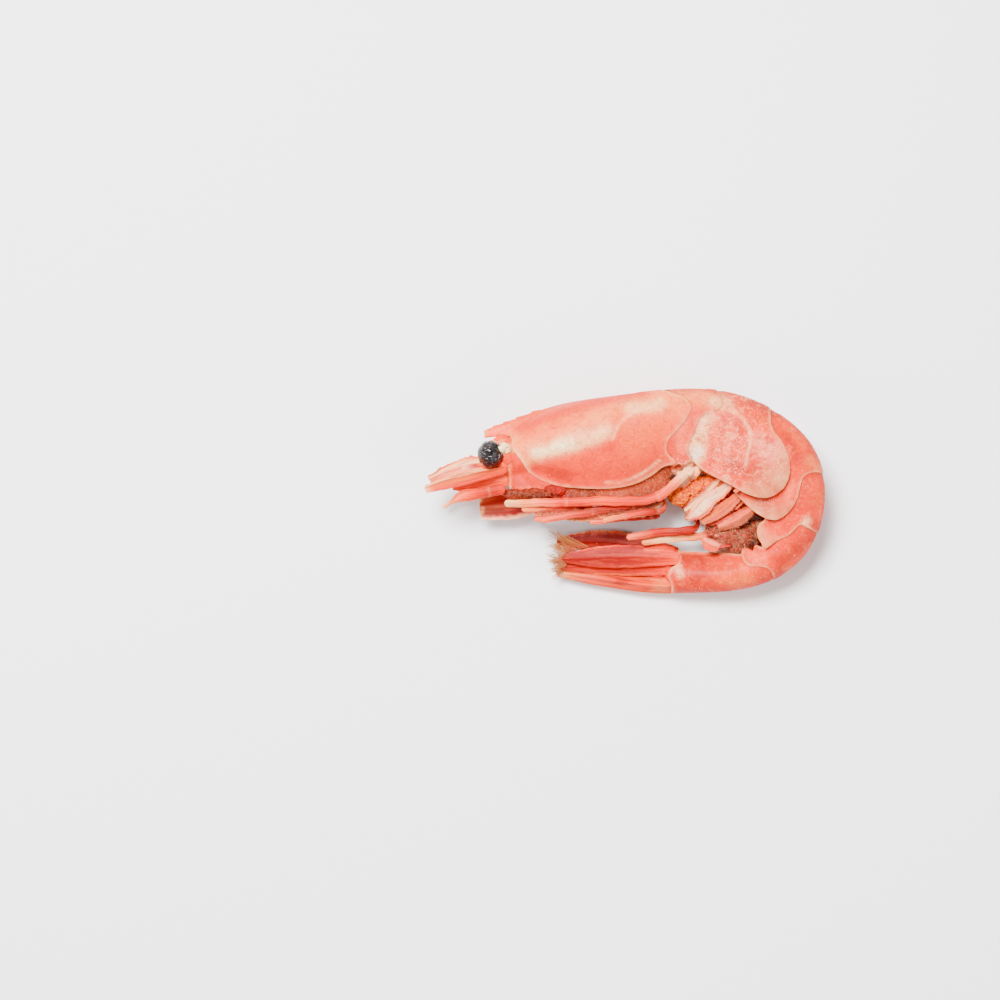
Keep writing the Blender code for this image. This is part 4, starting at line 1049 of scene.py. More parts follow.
def limbs(material):
    """Feelers, jaw legs and walking legs, by place, offset from the middle plane and radius."""
    pairs = {
        "antennule": ([(-17.7, 4.0, 0.75, 0.8), (-20.0, 3.5, 0.85, 0.85), (-22.6, 3.0, 0.95, 0.75)],
                      (CORAL, CREAM, ROSE, CORAL, LILAC, PALE), (0.4,)),
        "antenna": ([(-16.5, 0.3, 2.6, 0.75), (-19.5, -0.3, 2.9, 0.65), (-22.9, -1.0, 3.1, 0.6),
                     (-23.6, -1.4, 3.1, 0.3), (-25.0, -2.3, 3.1, 0.25)],
                    (SALMON, CORAL, CORAL, SALMON, PEACH, ROSE, CREAM, PALE), (0.25,)),
        "maxilliped": ([(-8.6, -1.6, 0.9, 0.55), (-7.4, -2.9, 1.5, 0.55), (-9.4, -3.6, 1.9, 0.5),
                        (-12.6, -3.9, 1.9, 0.35)], (RED, PINK, ROSE), (0.45,)),
        "leg_1": ([(-4.6, -1.7, 0.8, 0.45), (-6.0, -2.1, 2.0, 0.45), (-10.0, -2.4, 2.4, 0.42),
                   (-14.2, -2.5, 2.7, 0.35)], (RED, PINK, CREAM), (0.3, 0.8)),
        "leg_2": ([(-1.5, -1.7, 1.2, 0.45), (1.9, -1.9, 2.6, 0.5), (-3.0, -2.6, 3.1, 0.5),
                   (-11.6, -4.0, 3.2, 0.4)], (PINK, RED, CORAL, ROSE), (0.28, 0.6)),
        "leg_3": ([(1.6, -1.6, 0.8, 0.45), (4.4, -3.1, 1.5, 0.42), (-0.8, -3.8, 2.0, 0.4),
                   (-5.0, -4.3, 1.9, 0.3)], (PINK, CRIMSON, CORAL, ROSE), (0.35, 0.7)),
    }
    singles = {
        "leg_4_left": ([(4.9, -0.9, 0.9, 0.45), (5.2, -2.3, 2.2, 0.42), (1.5, -3.1, 3.3, 0.42),
                        (-3.2, -4.0, 3.6, 0.3)], (ROSE, RED, PINK, CREAM), (0.3, 0.75)),
        "leg_4_right": ([(5.9, 0.1, -1.4, 0.42), (8.3, -2.2, -2.2, 0.42), (9.9, -4.2, -1.6, 0.42),
                         (9.7, -5.0, -0.3, 0.5), (5.0, -5.65, -0.2, 0.55), (0.2, -6.35, -0.2, 0.4)],
                        (PINK, CORAL, CORAL, RED, CORAL, ROSE), (0.45,)),
        "leg_5_left": ([(8.2, 2.6, 4.5, 0.65), (4.3, -0.7, 4.4, 0.6), (-3.5, -1.4, 4.0, 0.6),
                        (-10, -1.55, 3.6, 0.55), (-16.6, -1.7, 3.2, 0.45)],
                       (PALE, ROSE, PINK, SALMON, SALMON, PEACH, SALMON, SALMON, ROSE, CREAM, PALE),
                       (0.2, 0.68)),
        "leg_5_right": ([(8.3, -0.3, -2.1, 0.42), (9.8, -1.8, -2.1, 0.42), (11.2, -3.9, -1.1, 0.42),
                         (11.5, -5.5, -1.0, 0.5), (7.0, -6.4, -1.1, 0.55), (2.3, -7.1, -1.1, 0.4)],
                        (PINK, CORAL, PINK, CREAM, PALE, CREAM), (0.5,)),
    }
    lines = {name: (1, *facts) for name, facts in singles.items()}
    for name, facts in pairs.items():
        lines[f"{name}_left"] = (1, *facts)
        lines[f"{name}_right"] = (-1, *facts)
    for name, (sign, stops, tones, knees) in lines.items():
        turned = [(x, y, MIDDLE + sign * offset, radius) for x, y, offset, radius in stops]
        limb(name, material, turned, tones, knees)


def leaf(name, material, path, half_widths, thickness, facing, painter, slot, nodes=(), ridge=0.6,
         ragged=0.05):
    """Thin leaf along a path, thickest along its middle, painted by place across and along."""
    path = np.asarray(path, float)
    run = chord_lengths(path)
    at = np.linspace(0, run[-1], max(12, int(run[-1] / LEAF_STEP)))
    centres = smooth(run, path, at)
    widths = measure(np.linspace(0, run[-1], len(half_widths)), half_widths, at)
    widths = widths * (1 + ragged * waves_along(at, 0.8, seed=41) + ragged * waves_along(at, 0.35, seed=42))
    thicks = np.minimum(thickness, widths)

    def profile(side):
        return 0.35 + ridge * np.exp(-((side / RIDGE_WIDTH) ** 2)) + 0.12 * np.cos(side * 14)

    piece, across, along = swept(name, centres, widths, thicks, facing, LEAF_SIDES, profile)
    tones = painter(across, along / run[-1], drawn(piece))
    write_attributes(piece, tones, across=across, along=along, fleck=0.25)
    return finish_piece(piece, material, slot, *nodes)


def banded(*bands):
    """Painter of a leaf: tones by place across it, from one side to the other."""
    places, tones = zip(*bands)

    def paint(across, along, points):
        return tones_at(across + 0.18 * waves(points, 0.9, seed=51), places, tones)

    return paint


def fading(across_bands, *ends):
    """Painter of a leaf: bands across it, fading to other tones at shares of its length."""
    bands = banded(*across_bands)
    places, tones, strengths = zip(*ends)

    def paint(across, along, points):
        shades = bands(across, along, points)
        moved = along + 0.06 * waves(points, 0.8, seed=53)
        cover = np.interp(moved, places, strengths)[:, None]
        return shades * (1 - cover) + tones_at(moved, places, tones) * cover

    return paint


def tail_fan(material):
    """Telson and the two pairs of uropods, closed like a fan."""
    lengths = np.linspace(SEGMENT_ENDS[-1] - 0.3, TELSON_END, 8)
    spine = along_back(lengths) + inward_at(lengths) * np.linspace(1.0, 0.6, 8)[:, None]
    path = np.column_stack([spine, middle(lengths)])
    tones = fading([(-1, SALMON), (0, SALMON), (1, CORAL)], (0, PEACH, 0.6), (0.1, CREAM, 0.6),
                   (0.25, PEACH, 0.8), (0.5, PEACH, 0.6), (0.75, ROSE, 0.6), (0.9, CREAM, 0.7),
                   (1, PALE, 0.8))
    leaf("telson_shell", material, path, (1.7, 1.6, 1.3, 1.0, 0.6), 1.05, (0, 0, 1), tones, "tail",
         ["telson"])
    layers = {
        "outer": {1: ([(7.4, -9.3), (2.5, -9.0), (-2.0, -9.05), (-6.0, -9.2), (-8.6, -9.3)], 1.55),
                  -1: ([(7.4, -8.6), (2.0, -7.5), (-3.0, -6.95), (-7.0, -6.9), (-9.2, -7.1)], -1.55)},
        "inner": {1: ([(6.4, -10.5), (2.0, -10.4), (-2.0, -10.3), (-6.0, -10.3), (-9.0, -10.5)], 0.6),
                  -1: ([(6.6, -10.0), (2.0, -9.6), (-2.0, -9.3), (-6.0, -9.2), (-9.0, -9.4)], -0.6)},
    }
    spread = {"outer": (0.8, 1.4, 1.6, 1.35, 0.5), "inner": (1.0, 1.3, 1.35, 1.15, 0.5)}
    bands = {
        ("outer", 1): [(-1, FLAME), (-0.6, RED), (0.3, RED), (0.75, RUBY), (1, PINK)],
        ("outer", -1): [(-1, CRIMSON), (-0.3, RED), (0.2, DUSK), (0.6, PLUM), (0.85, ROSE), (1, PALE)],
        ("inner", 1): [(-1, ORANGE), (-0.8, FLAME), (-0.2, SCARLET), (0.6, FLAME), (1, RED)],
        ("inner", -1): [(-1, CRIMSON), (0, RED), (1, CRIMSON)],
    }
    leaves = {}
    for layer, sides in layers.items():
        for sign, (line, offset) in sides.items():
            painter = fading(bands[layer, sign], (0, PEACH, 0.9), (0.12, SALMON, 0.8), (0.35, CORAL, 0.4),
                             (0.55, RED, 0.0), (0.88, RED, 0.1), (1, RUST, 0.5))
            line = np.array(line)
            heights = middle(from_back(line)[0]) + offset
            side = "left" if sign > 0 else "right"
            leaves[f"{side}_{layer}"] = leaf(
                f"uropod_{side}_{layer}_shell", material, np.column_stack([line, heights]),
                spread[layer], BLADE_THICKNESS, (0, 1, 0), painter, "tail", [f"uropod_{side}_{layer}"])
    return leaves


def antennal_scales(material):
    """The leaf beside each antenna: the left one points forwards, the right one hangs askew."""
    left = [(-16.4, 2.95, 2.9), (-22.0, 1.65, 3.1), (-27.3, 0.25, 3.2)]
    right = [(-9.8, -1.2, -1.2), (-15.0, -2.0, -1.3), (-19.9, -2.5, -1.4)]
    leaves = {
        "left": (left, (1.0, 1.5, 1.7, 1.6, 1.2), (0, 0.5, -0.87),
                 [(-1, CORAL), (-0.6, SALMON), (-0.1, ORANGE), (0.35, CORAL), (0.75, PALE), (1, CREAM)]),
        "right": (right, (0.7, 1.4, 1.8, 1.75, 1.5), (0, 1, 0.2),
                  [(-1, PALE), (-0.85, LILAC), (-0.6, DUSK), (-0.3, DUSK), (0, RUST), (0.6, RED),
                   (1, RUST)]),
    }
    for side, (line, half_widths, facing, bands) in leaves.items():
        pale_from = 0.9 if side == "left" else 0.96
        path = [(x, y, MIDDLE + offset) for x, y, offset in line]
        tones = fading(bands, (0, SALMON, 0.5), (0.4, SALMON, 0.0), (pale_from, PALE, 0.05),
                       (1, PALE, 0.7))
        leaf(f"antennal_scale_{side}_shell", material, path, half_widths, SCALE_THICKNESS, facing,
             tones, "shell", [f"antennal_scale_{side}"])


def pleopods(material):
    """Swimming legs: flat stems from the channel, each ending in a thin leaf."""
    places = [((9.6, 3.0), (6.9, 0.6)), ((14.3, 1.3), (8.4, -3.8)), ((16.5, -0.3), (11.2, -4.4)),
              ((17.9, -2.1), (12.2, -6.1)), ((18.7, -4.6), (11.9, -7.4))]
    insets = (1.25, 1.1, 1.4, 1.6, 1.25)
    widths = (0.5, 0.75, 0.9, 1.15, 1.0, 0.4)
    widths_of_first = (0.4, 0.65, 0.8, 0.85, 0.7, 0.3)
    pale = fading([(-1, LILAC), (-0.5, PALE), (0.1, MILK), (0.5, PALE), (0.8, PINK), (1, ROSE)],
                  (0, CORAL, 0.7), (0.25, ROSE, 0.3), (0.7, LILAC, 0.2), (1, PINK, 0.6))
    pink = fading([(-1, CORAL), (-0.4, ROSE), (0.1, PALE), (0.5, PINK), (1, CORAL)],
                  (0, CORAL, 0.7), (0.3, ORANGE, 0.4), (0.7, PINK, 0.3), (1, CORAL, 0.6))
    pieces = {}
    for number, ((root, tip), inset) in enumerate(zip(places, insets), 1):
        for side, sign in (("left", 1), ("right", -1)):
            line = np.linspace(root, tip, 5) + [(0, 0), (0.1, -0.1), (-0.1, 0.1), (0.12, 0), (0, 0)]
            room = half_width(line[:1], BELLY_REACH) - FLAP_THICKNESS - inset
            drop = sign * room * np.linspace(1, 0.85, 5)
            heights = middle(from_back(line[:1], BELLY_REACH)[0]) + drop
            pieces[side, number] = leaf(
                f"pleopod_{side}_{number}_shell", material, np.column_stack([line, heights]),
                widths_of_first if number == 1 else widths, SCALE_THICKNESS, (0.7, -0.7, 0.1 * number),
                pale if number < 4 - sign else pink, "leg", [f"pleopod_{side}_{number}"],
                ridge=0.3, ragged=0.14)
    return pieces


def loose_skin(material):
    """Feeler stubs and torn strips of skin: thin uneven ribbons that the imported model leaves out."""
    ribbons = {
        "feeler_stub_upper": ([(-18.8, 4.0, 1.2), (-21.4, 3.7, 1.3), (-24.2, 3.0, 1.3), (-26.9, 1.7, 1.6)],
                              (0.7, 1.0, 1.0, 0.7, 0.6, 0.4),
                              [(-1, ROSE), (-0.4, LILAC), (0.3, PALE), (1, PINK)]),
        "feeler_stub_lower": ([(-19.5, 2.9, 1.2), (-23.4, 2.0, 1.5), (-26.6, 1.0, 2.0)],
                              (0.4, 0.6, 0.6, 0.4),
                              [(-1, CREAM), (-0.3, ORANGE), (0.3, CREAM), (1, LILAC)]),
        "scale_fold": ([(-16.2, 1.5, 2.3), (-19.6, 1.05, 2.3), (-23.6, 0.4, 2.3)], (0.9, 0.95, 0.8, 0.4),
                       [(-1, SALMON), (-0.3, PEACH), (0.3, PEACH), (1, PINK)]),
        "fan_base": ([(7.2, -8.9, -2.9), (5.2, -8.3, -2.2), (2.6, -8.1, -2.3)], (0.6, 1.0, 1.1, 0.9, 0.3),
                     [(-1, SALMON), (-0.3, ROSE), (0.4, SALMON), (1, CORAL)]),
        "jaw_strip": ([(-12.4, -3.0, 2.0), (-6.5, -3.3, 2.2), (-2.2, -3.9, 2.1)],
                      (0.3, 0.7, 0.85, 0.7, 0.3),
                      [(-1, CREAM), (-0.5, TAN), (0.4, PINK), (1, TAN)]),
        "torn_skin_front": ([(-5.6, -2.6, 2.7), (-0.5, -3.0, 2.9), (3.8, -2.0, 2.8)],
                            (0.3, 0.8, 0.9, 0.8, 0.4),
                            [(-1, ROSE), (-0.5, TAN), (0.2, RUST), (1, PINK)]),
        "torn_skin_rear": ([(0.0, -3.5, 2.7), (2.2, -3.0, 2.9), (4.8, -1.3, 2.6)], (0.1, 0.45, 0.6, 0.4),
                           [(-1, PALE), (-0.5, TAN), (0.3, RUST), (1, CRIMSON)]),
        "belly_strip_1": ([(12.8, 1.6, 2.6), (10.6, -0.9, 2.7), (8.0, -2.7, 2.5)], (0.6, 0.9, 0.9, 0.5),
                          [(-1, ROSE), (-0.4, ORANGE), (0.3, PALE), (1, CORAL)]),
        "belly_strip_2": ([(15.6, -0.4, 2.4), (13.0, -2.6, 2.6), (10.2, -4.1, 2.4)], (0.6, 0.9, 0.9, 0.6),
                          [(-1, TAN), (-0.4, ROSE), (0.3, ORANGE), (1, PINK)]),
        "belly_strip_3": ([(17.6, -2.2, 1.9), (15.2, -3.8, 2.4), (12.6, -4.9, 2.3)], (0.6, 1.0, 1.0, 0.6),
                          [(-1, RUST), (-0.4, TAN), (0.3, ROSE), (1, CORAL)]),
        "belly_flap": ([(10.6, -6.6, 0.6), (11.4, -7.3, 0.4), (12.8, -7.7, 0.0)], (0.4, 0.8, 0.9, 0.5),
                       [(-1, PINK), (0, ROSE), (0.6, LILAC), (1, CORAL)]),
    }
    pieces = {}
    for name, (line, half_widths, bands) in ribbons.items():
        path = [(x, y, MIDDLE + offset) for x, y, offset in line]
        pieces[name] = leaf(name, material, path, half_widths, SKIN_THICKNESS, (0, 1, 0.25),
                            banded(*bands), "leg", ragged=0.12 if name.startswith("belly") else 0.25)
    return pieces


def eyes(material):
    """Balls of the eyes, a little wrinkled from the cold."""
    for side, sign in (("left", 1), ("right", -1)):
        points, faces = unit_ball(6)
        radius = EYE_RADIUS + 0.13 * waves(points, 0.45, seed=61) - 0.06
        centre = (*EYE_CENTRE, MIDDLE + sign * EYE_OFFSET)
        points = points * radius[:, None] * EYE_STRETCH + centre
        ball = from_faces(f"eye_{side}_ball", points, faces)
        finish_piece(ball, material, "eye", f"eye_{side}")


def eyestalks(material):
    """Short stalks, each flaring to a ragged cup round the back of its eye."""
    for side, sign in (("left", 1), ("right", -1)):
        root = np.array([*STALK_ROOT, MIDDLE + sign * STALK_ROOT_OFFSET])
        centre = np.array([*EYE_CENTRE, MIDDLE + sign * EYE_OFFSET])
        axis = centre - root
        reach = np.linalg.norm(axis)
        axis /= reach
        across = np.cross(axis, (0, 0, 1))
        across /= np.linalg.norm(across)
        up = np.cross(across, axis)
        turns = np.arange(STALK_SIDES) * 2 * pi / STALK_SIDES
        cup = EYE_RADIUS + 0.12
        angles = np.radians(np.linspace(24, 62, 10))
        rows = [(-0.6, 0.0), (-0.5, 0.8), (0.3, 0.95), (0.9, 1.0)]
        rows += [(reach - cup * cos(angle), cup * sin(angle)) for angle in angles]
        inner = cup - 0.16
        rows += [(reach - inner * cos(angle), inner * sin(angle)) for angle in angles[::-3]]
        rows.append((reach - EYE_RADIUS * 0.8, 0.05))
        lobes = 0.22 * waves(np.column_stack([np.cos(turns), np.sin(turns), turns * 0]), 0.6, seed=63 + sign)
        points = []
        for along, wide in rows:
            ragged = lobes * np.clip(wide - 1.0, 0, 1) * 1.6
            points += [root + axis * (along + more) + (across * cos(turn) + up * sin(turn)) * wide
                       for turn, more in zip(turns, ragged)]
        faces = [*tube_faces(len(rows), STALK_SIDES), *end_faces(len(rows), STALK_SIDES)]
        stalk = from_faces(f"eyestalk_{side}_shell", points, faces)
        places = drawn(stalk)
        away = (places - root) @ axis / reach
        cream = (np.clip(away * 1.6, 0, 1) * np.clip(0.75 + waves(places, 0.9, seed=65), 0, 1))[:, None]
        tones = np.array(ORANGE) * (1 - cream) * 0.5 + np.array(SALMON) * (1 - cream) * 0.5
        tones = tones + np.array(PALE) * cream
        write_attributes(stalk, tones, rim=0, seam=0, fleck=0.15, lace=0)
        finish_piece(stalk, material, "shell", f"eyestalk_{side}")


# Soft parts, roe, hairs and frost


def lumps(name, spots, size):
    """Lumpy soft mass: overlapping ellipsoids of place and half sizes, joined as one piece."""
    points, faces = [], []
    out, corners = unit_ball(5)
    for x, y, z, across, up, thick in spots:
        start = len(points)
        ball = out * (across, up, thick) + (x, y, z)
        bumps = size * waves(ball, 0.8, seed=71) + size / 2 * waves(ball, 0.3, seed=72)
        points += list(ball + out * bumps[:, None])
        faces += [[start + corner for corner in face] for face in corners]
    return from_faces(name, points, faces)


def soft_lumps(material):
    """Tissue round the left eye, under the head, in the belly and at the roots of legs and fan.

    Each mass has its lumps, the size of their bumps, its tone, how dark it is and its slot.
    """
    masses = {
        "eye_patch": ([(-17.0, 5.75, 9.9, 0.6, 0.5, 0.5), (-16.5, 6.1, 9.7, 0.65, 0.45, 0.5),
                       (-16.1, 5.7, 9.4, 0.6, 0.5, 0.5)], 0.26, IVORY, 0.0, "shell"),
        "eye_socket": ([(-15.9, 6.3, 8.0, 1.0, 0.9, 1.1), (-15.8, 5.4, 8.3, 1.1, 1.1, 1.1),
                        (-16.0, 4.5, 8.5, 1.2, 1.1, 1.0), (-16.4, 3.7, 8.2, 1.3, 0.8, 0.9),
                        (-16.6, 6.9, 6.8, 1.6, 0.7, 1.0), (-17.8, 3.3, 7.6, 1.8, 0.6, 0.8)],
                       0.26, PEACH, 0.15, "shell"),
        "jaw_tissue": ([(-14.6, -0.5, 7.7, 2.3, 0.75, 0.8), (-12.2, -0.2, 8.1, 2.0, 0.7, 0.9),
                        (-9.6, 0.1, 8.6, 1.6, 0.8, 0.9)], 0.3, RUST, 0.5, "leg"),
        "fan_root": ([(6.4, -11.3, 2.3, 1.0, 1.5, 1.5), (4.8, -11.3, 2.2, 1.6, 0.6, 0.8),
                      (6.6, -9.4, 2.6, 1.0, 1.0, 1.4)], 0.2, SALMON, 0.1, "tail"),
        "leg_root": ([(6.4, 3.2, 8.4, 1.4, 0.9, 1.2), (8.2, 3.9, 9.0, 1.2, 1.0, 1.4),
                      (9.2, 2.6, 9.2, 0.9, 0.9, 1.0), (8.3, 2.6, 10.6, 0.75, 0.6, 0.6),
                      (7.5, 2.1, 10.5, 0.7, 0.5, 0.55)], 0.34, PALE, 0.0, "leg"),
        "belly_tissue": ([(12.6, -5.4, 5.6, 1.5, 1.1, 1.6), (14.4, -5.9, 6.0, 1.7, 1.4, 1.9),
                          (16.2, -6.2, 5.4, 1.4, 1.4, 2.0), (13.2, -6.9, 4.8, 1.6, 0.9, 1.3),
                          (17.6, -5.4, 4.8, 1.2, 1.4, 1.8), (15.6, -7.5, 4.6, 1.7, 0.9, 1.5)],
                         0.4, LIVER, 0.7, "leg"),
    }
    washes = [([(-15.8, 6.7)], 0.5, CORAL, 0.7), ([(-15.4, 5.4)], 0.5, OLIVE, 0.5),
              ([(-15.6, 5.8), (-15.4, 6.4)], 0.6, CREAM, 0.7),
              ([(-16.4, 4.2), (-15.6, 4.4)], 0.6, SALMON, 0.7),
              ([(-17.6, 3.2), (-19.0, 2.9)], 0.5, RUST, 0.7),
              ([(-10.0, 0.5), (-8.7, -0.3)], 0.9, WINE, 1.0),
              ([(5.6, 3.0), (6.8, 3.4)], 1.0, ROSE, 0.8), ([(8.8, 4.4)], 0.5, ICE, 0.8),
              ([(9.6, 2.2)], 0.7, CREAM, 0.8),
              ([(17.6, -4.8), (17.8, -6.2)], 0.9, RUST, 0.8)]
    pieces = {}
    for name, (spots, size, tone, dark, slot) in masses.items():
        piece = lumps(name, spots, size)
        write_attributes(piece, washed(drawn(piece), tone, washes), dark=dark)
        pieces[name] = finish_piece(piece, material, slot)
    return pieces


def scatter_tree():
    """Node tree that sows grains over a piece's faces, standing on them, and joins them as mesh."""
    tree = bpy.data.node_groups.new("sown_grains", "GeometryNodeTree")
    tree.is_modifier = True
    inputs = {"Geometry": "Geometry", "Grain": "Object", "Finish": "Material", "Density": "Float",
              "Smallest": "Float", "Largest": "Float", "Lean": "Float", "Seed": "Int"}
    for name, kind in inputs.items():
        tree.interface.new_socket(name, in_out="INPUT", socket_type=f"NodeSocket{kind}")
    tree.interface.new_socket("Geometry", in_out="OUTPUT", socket_type="NodeSocketGeometry")

    def add(kind, links=None, **settings):
        made = tree.nodes.new(kind)
        for name, value in settings.items():
            setattr(made, name, value)
        for place, value in (links or {}).items():
            if isinstance(value, bpy.types.NodeSocket):
                tree.links.new(value, made.inputs[place])
            else:
                made.inputs[place].default_value = value
        return made

    given = add("NodeGroupInput").outputs
    sown = add("GeometryNodeDistributePointsOnFaces", {
        "Mesh": given["Geometry"], "Density": given["Density"], "Seed": given["Seed"]})
    size = add("FunctionNodeRandomValue", {
        2: given["Smallest"], 3: given["Largest"], "Seed": given["Seed"]}, data_type="FLOAT")
    backwards = add("ShaderNodeMath", {0: given["Lean"], 1: -1.0}, operation="MULTIPLY")
    least = add("ShaderNodeCombineXYZ", {"X": backwards.outputs[0], "Y": backwards.outputs[0]})
    most = add("ShaderNodeCombineXYZ", {"X": given["Lean"], "Y": given["Lean"], "Z": 2 * pi})
    lean = add("FunctionNodeRandomValue", {
        0: least.outputs[0], 1: most.outputs[0], "Seed": given["Seed"]}, data_type="FLOAT_VECTOR")
    turn = add("FunctionNodeEulerToRotation", {0: lean.outputs[0]})
    facing = add("FunctionNodeRotateRotation", {
        "Rotation": sown.outputs["Rotation"], "Rotate By": turn.outputs[0]}, rotation_space="LOCAL")
    grain = add("GeometryNodeObjectInfo", {"Object": given["Grain"], "As Instance": True})
    placed = add("GeometryNodeInstanceOnPoints", {
        "Points": sown.outputs["Points"], "Instance": grain.outputs["Geometry"],
        "Rotation": facing.outputs[0], "Scale": size.outputs[1]})
    tint = add("FunctionNodeRandomValue", {"Seed": 5}, data_type="FLOAT")
    tinted = add("GeometryNodeStoreNamedAttribute", {
        "Geometry": placed.outputs[0], "Name": "tint", "Value": tint.outputs[1]},
        data_type="FLOAT", domain="INSTANCE")
    real = add("GeometryNodeRealizeInstances", {"Geometry": tinted.outputs[0]})
    dressed = add("GeometryNodeSetMaterial", {
        "Geometry": real.outputs[0], "Material": given["Finish"]})
    add("NodeGroupOutput", {0: dressed.outputs[0]})
    return tree


def remove(*pieces):
    """Takes away pieces that only helped to make others."""
    for piece in pieces:
        bpy.data.objects.remove(piece)


def sow(tree, name, host, grain, material, slot, per_mm2, sizes, lean, seed):
    """New piece of grains sown on a host, which stays as it was. None is made if nothing fell."""
    piece = bpy.data.objects.new(name, host.data.copy())
    bpy.context.scene.collection.objects.link(piece)
    sowing = piece.modifiers.new("sowing", "NODES")
    sowing.node_group = tree
    values = {"Grain": grain, "Finish": material, "Density": per_mm2 / MM**2, "Smallest": sizes[0],
              "Largest": sizes[1], "Lean": lean, "Seed": seed}
    for socket in tree.interface.items_tree:
        if socket.in_out == "INPUT" and socket.name in values:
            sowing[socket.identifier] = values[socket.name]
    bpy.context.view_layer.update()
    seen = piece.evaluated_get(bpy.context.evaluated_depsgraph_get())
    host_copy = piece.data
    piece.data = bpy.data.meshes.new_from_object(seen)
    piece.modifiers.clear()
    bpy.data.meshes.remove(host_copy)
    if piece.data.polygons:
        piece.data.shade_smooth()
        finish_piece(piece, None, slot)
    else:
        remove(piece)


def loose(name, points, faces):
    """A grain to sow, about its own origin, in metres."""
    mesh = bpy.data.meshes.new(name)
    mesh.from_pydata((np.asarray(points) * MM).tolist(), [], faces)
    work = bmesh.new()
    work.from_mesh(mesh)
    bmesh.ops.recalc_face_normals(work, faces=work.faces)
    work.to_mesh(mesh)
    work.free()
    return bpy.data.objects.new(name, mesh)


def hair_grain(name, length, radius, curl, turns=0.0, rows=7):
    """Hair standing on its origin, tapering to its tip, bent or curled by the given amount."""
    points = []
    for row in range(rows):
        share = row / (rows - 1)
        bend = curl * share**1.6
        twist = turns * share * 2 * pi
        centre = (bend * cos(twist), bend * sin(twist), length * share)
        thick = radius * (1 - 0.8 * share)
        for side in range(HAIR_SIDES):
            turn = side * 2 * pi / HAIR_SIDES
            points.append((centre[0] + thick * cos(turn), centre[1] + thick * sin(turn), centre[2]))
    return loose(name, points, [*tube_faces(rows, HAIR_SIDES), *end_faces(rows, HAIR_SIDES)])


def ball_grain(name, radius, detail, rough):
    """Round or broken grain sitting on its origin."""
    points, faces = unit_ball(detail)
    points = points * radius * (1 + rough * waves(points, 0.7, seed=81))[:, None]
    return loose(name, points, faces)


def part_of(piece, name, chosen):
    """Copy of the faces of a piece whose middles the choice keeps, as a host to sow on."""
    mesh = piece.data.copy()
    host = bpy.data.objects.new(name, mesh)
    work = bmesh.new()
    work.from_mesh(mesh)
    middles = np.array([face.calc_center_median() for face in work.faces]) / MM - SHIFT
    normals = np.array([face.normal for face in work.faces])
    kept = chosen(middles, normals)
    gone = [face for face, keep in zip(work.faces, kept) if not keep]
    bmesh.ops.delete(work, geom=gone, context="FACES")
    work.to_mesh(mesh)
    work.free()
    return host


def roe(tree, material):
    """Clump of eggs under the belly: a soft core, covered with single eggs."""
    spots = [(7.5, -0.2, 0.6, 1.7, 1.7, 1.7), (9.6, 0.6, 0.6, 1.5, 1.5, 1.7),
             (11.5, 0.8, 0.5, 1.2, 1.2, 1.5), (13.1, -0.4, 0.3, 1.1, 1.1, 1.1),
             (14.7, -1.5, -0.1, 0.9, 0.9, 0.8), (15.8, -2.4, -0.4, 0.7, 0.7, 0.6)]
    core = lumps("roe_core", [(x, y, MIDDLE + z, a, b, c) for x, y, z, a, b, c in spots], 0.1)
    write_attributes(core, tint=0.1)
    egg = ball_grain("egg", EGG_RADIUS, 2, 0.1)
    sow(tree, "roe_eggs", core, egg, material, "roe", EGGS_PER_MM2, (0.75, 1.2), 0.5, 3)
    remove(egg)
    finish_piece(core, material, "roe", "roe")


def thorax(material):
    """Soft underside between the legs, set in below the carapace's lower edge."""
    top, floor = edge(np.add(THORAX_TOP, TUCK)), edge(np.add(THORAX_FLOOR, (0, -0.5)))
    piece = plate("thorax_flesh", top[:0], np.vstack([top, floor[::-1]]), (0, SEGMENT_ENDS[0]),
                  share=0.84, swell=0.3)
    points = drawn(piece)
    washes = [([(-10.0, 0.5), (-8.7, -0.5)], 0.9, WINE, 1.0),
              ([(-3.0, -0.2), (0.0, 0.2), (4.0, 1.6)], 1.0, CLAY, 0.7)]
    dark = np.interp(points[:, 0], (-8, 1), (0.6, 0.3))
    write_attributes(piece, washed(points, RUST, washes), dark=dark)
    return finish_piece(piece, material, "leg", "thorax")


def frost(tree, pieces):
    """Frost on the upper side of the pieces: a few grains all over, and heaps where it has gathered."""
    grain = ball_grain("ice_grain", FROST_RADIUS, 1, 0.6)
    material = frost_finish()

    def gathered(middles):
        near = [np.linalg.norm(middles[:, :2] - place, axis=1) < reach for place, reach in FROST_HEAPS]
        return np.any(near, axis=0)

    for number, piece in enumerate(pieces):
        for heaped, per_mm2 in enumerate(FROST_PER_MM2):
            host = part_of(piece, "frosted", lambda middles, normals: (
                (normals[:, 2] > 0.2) & (gathered(middles) == bool(heaped))))
            if len(host.data.polygons):
                sow(tree, f"frost_{number}_{heaped}", host, grain, material, "shell", per_mm2,
                    (0.5, 1.5), 0.6, 11 + number)
            remove(host)
    remove(grain)


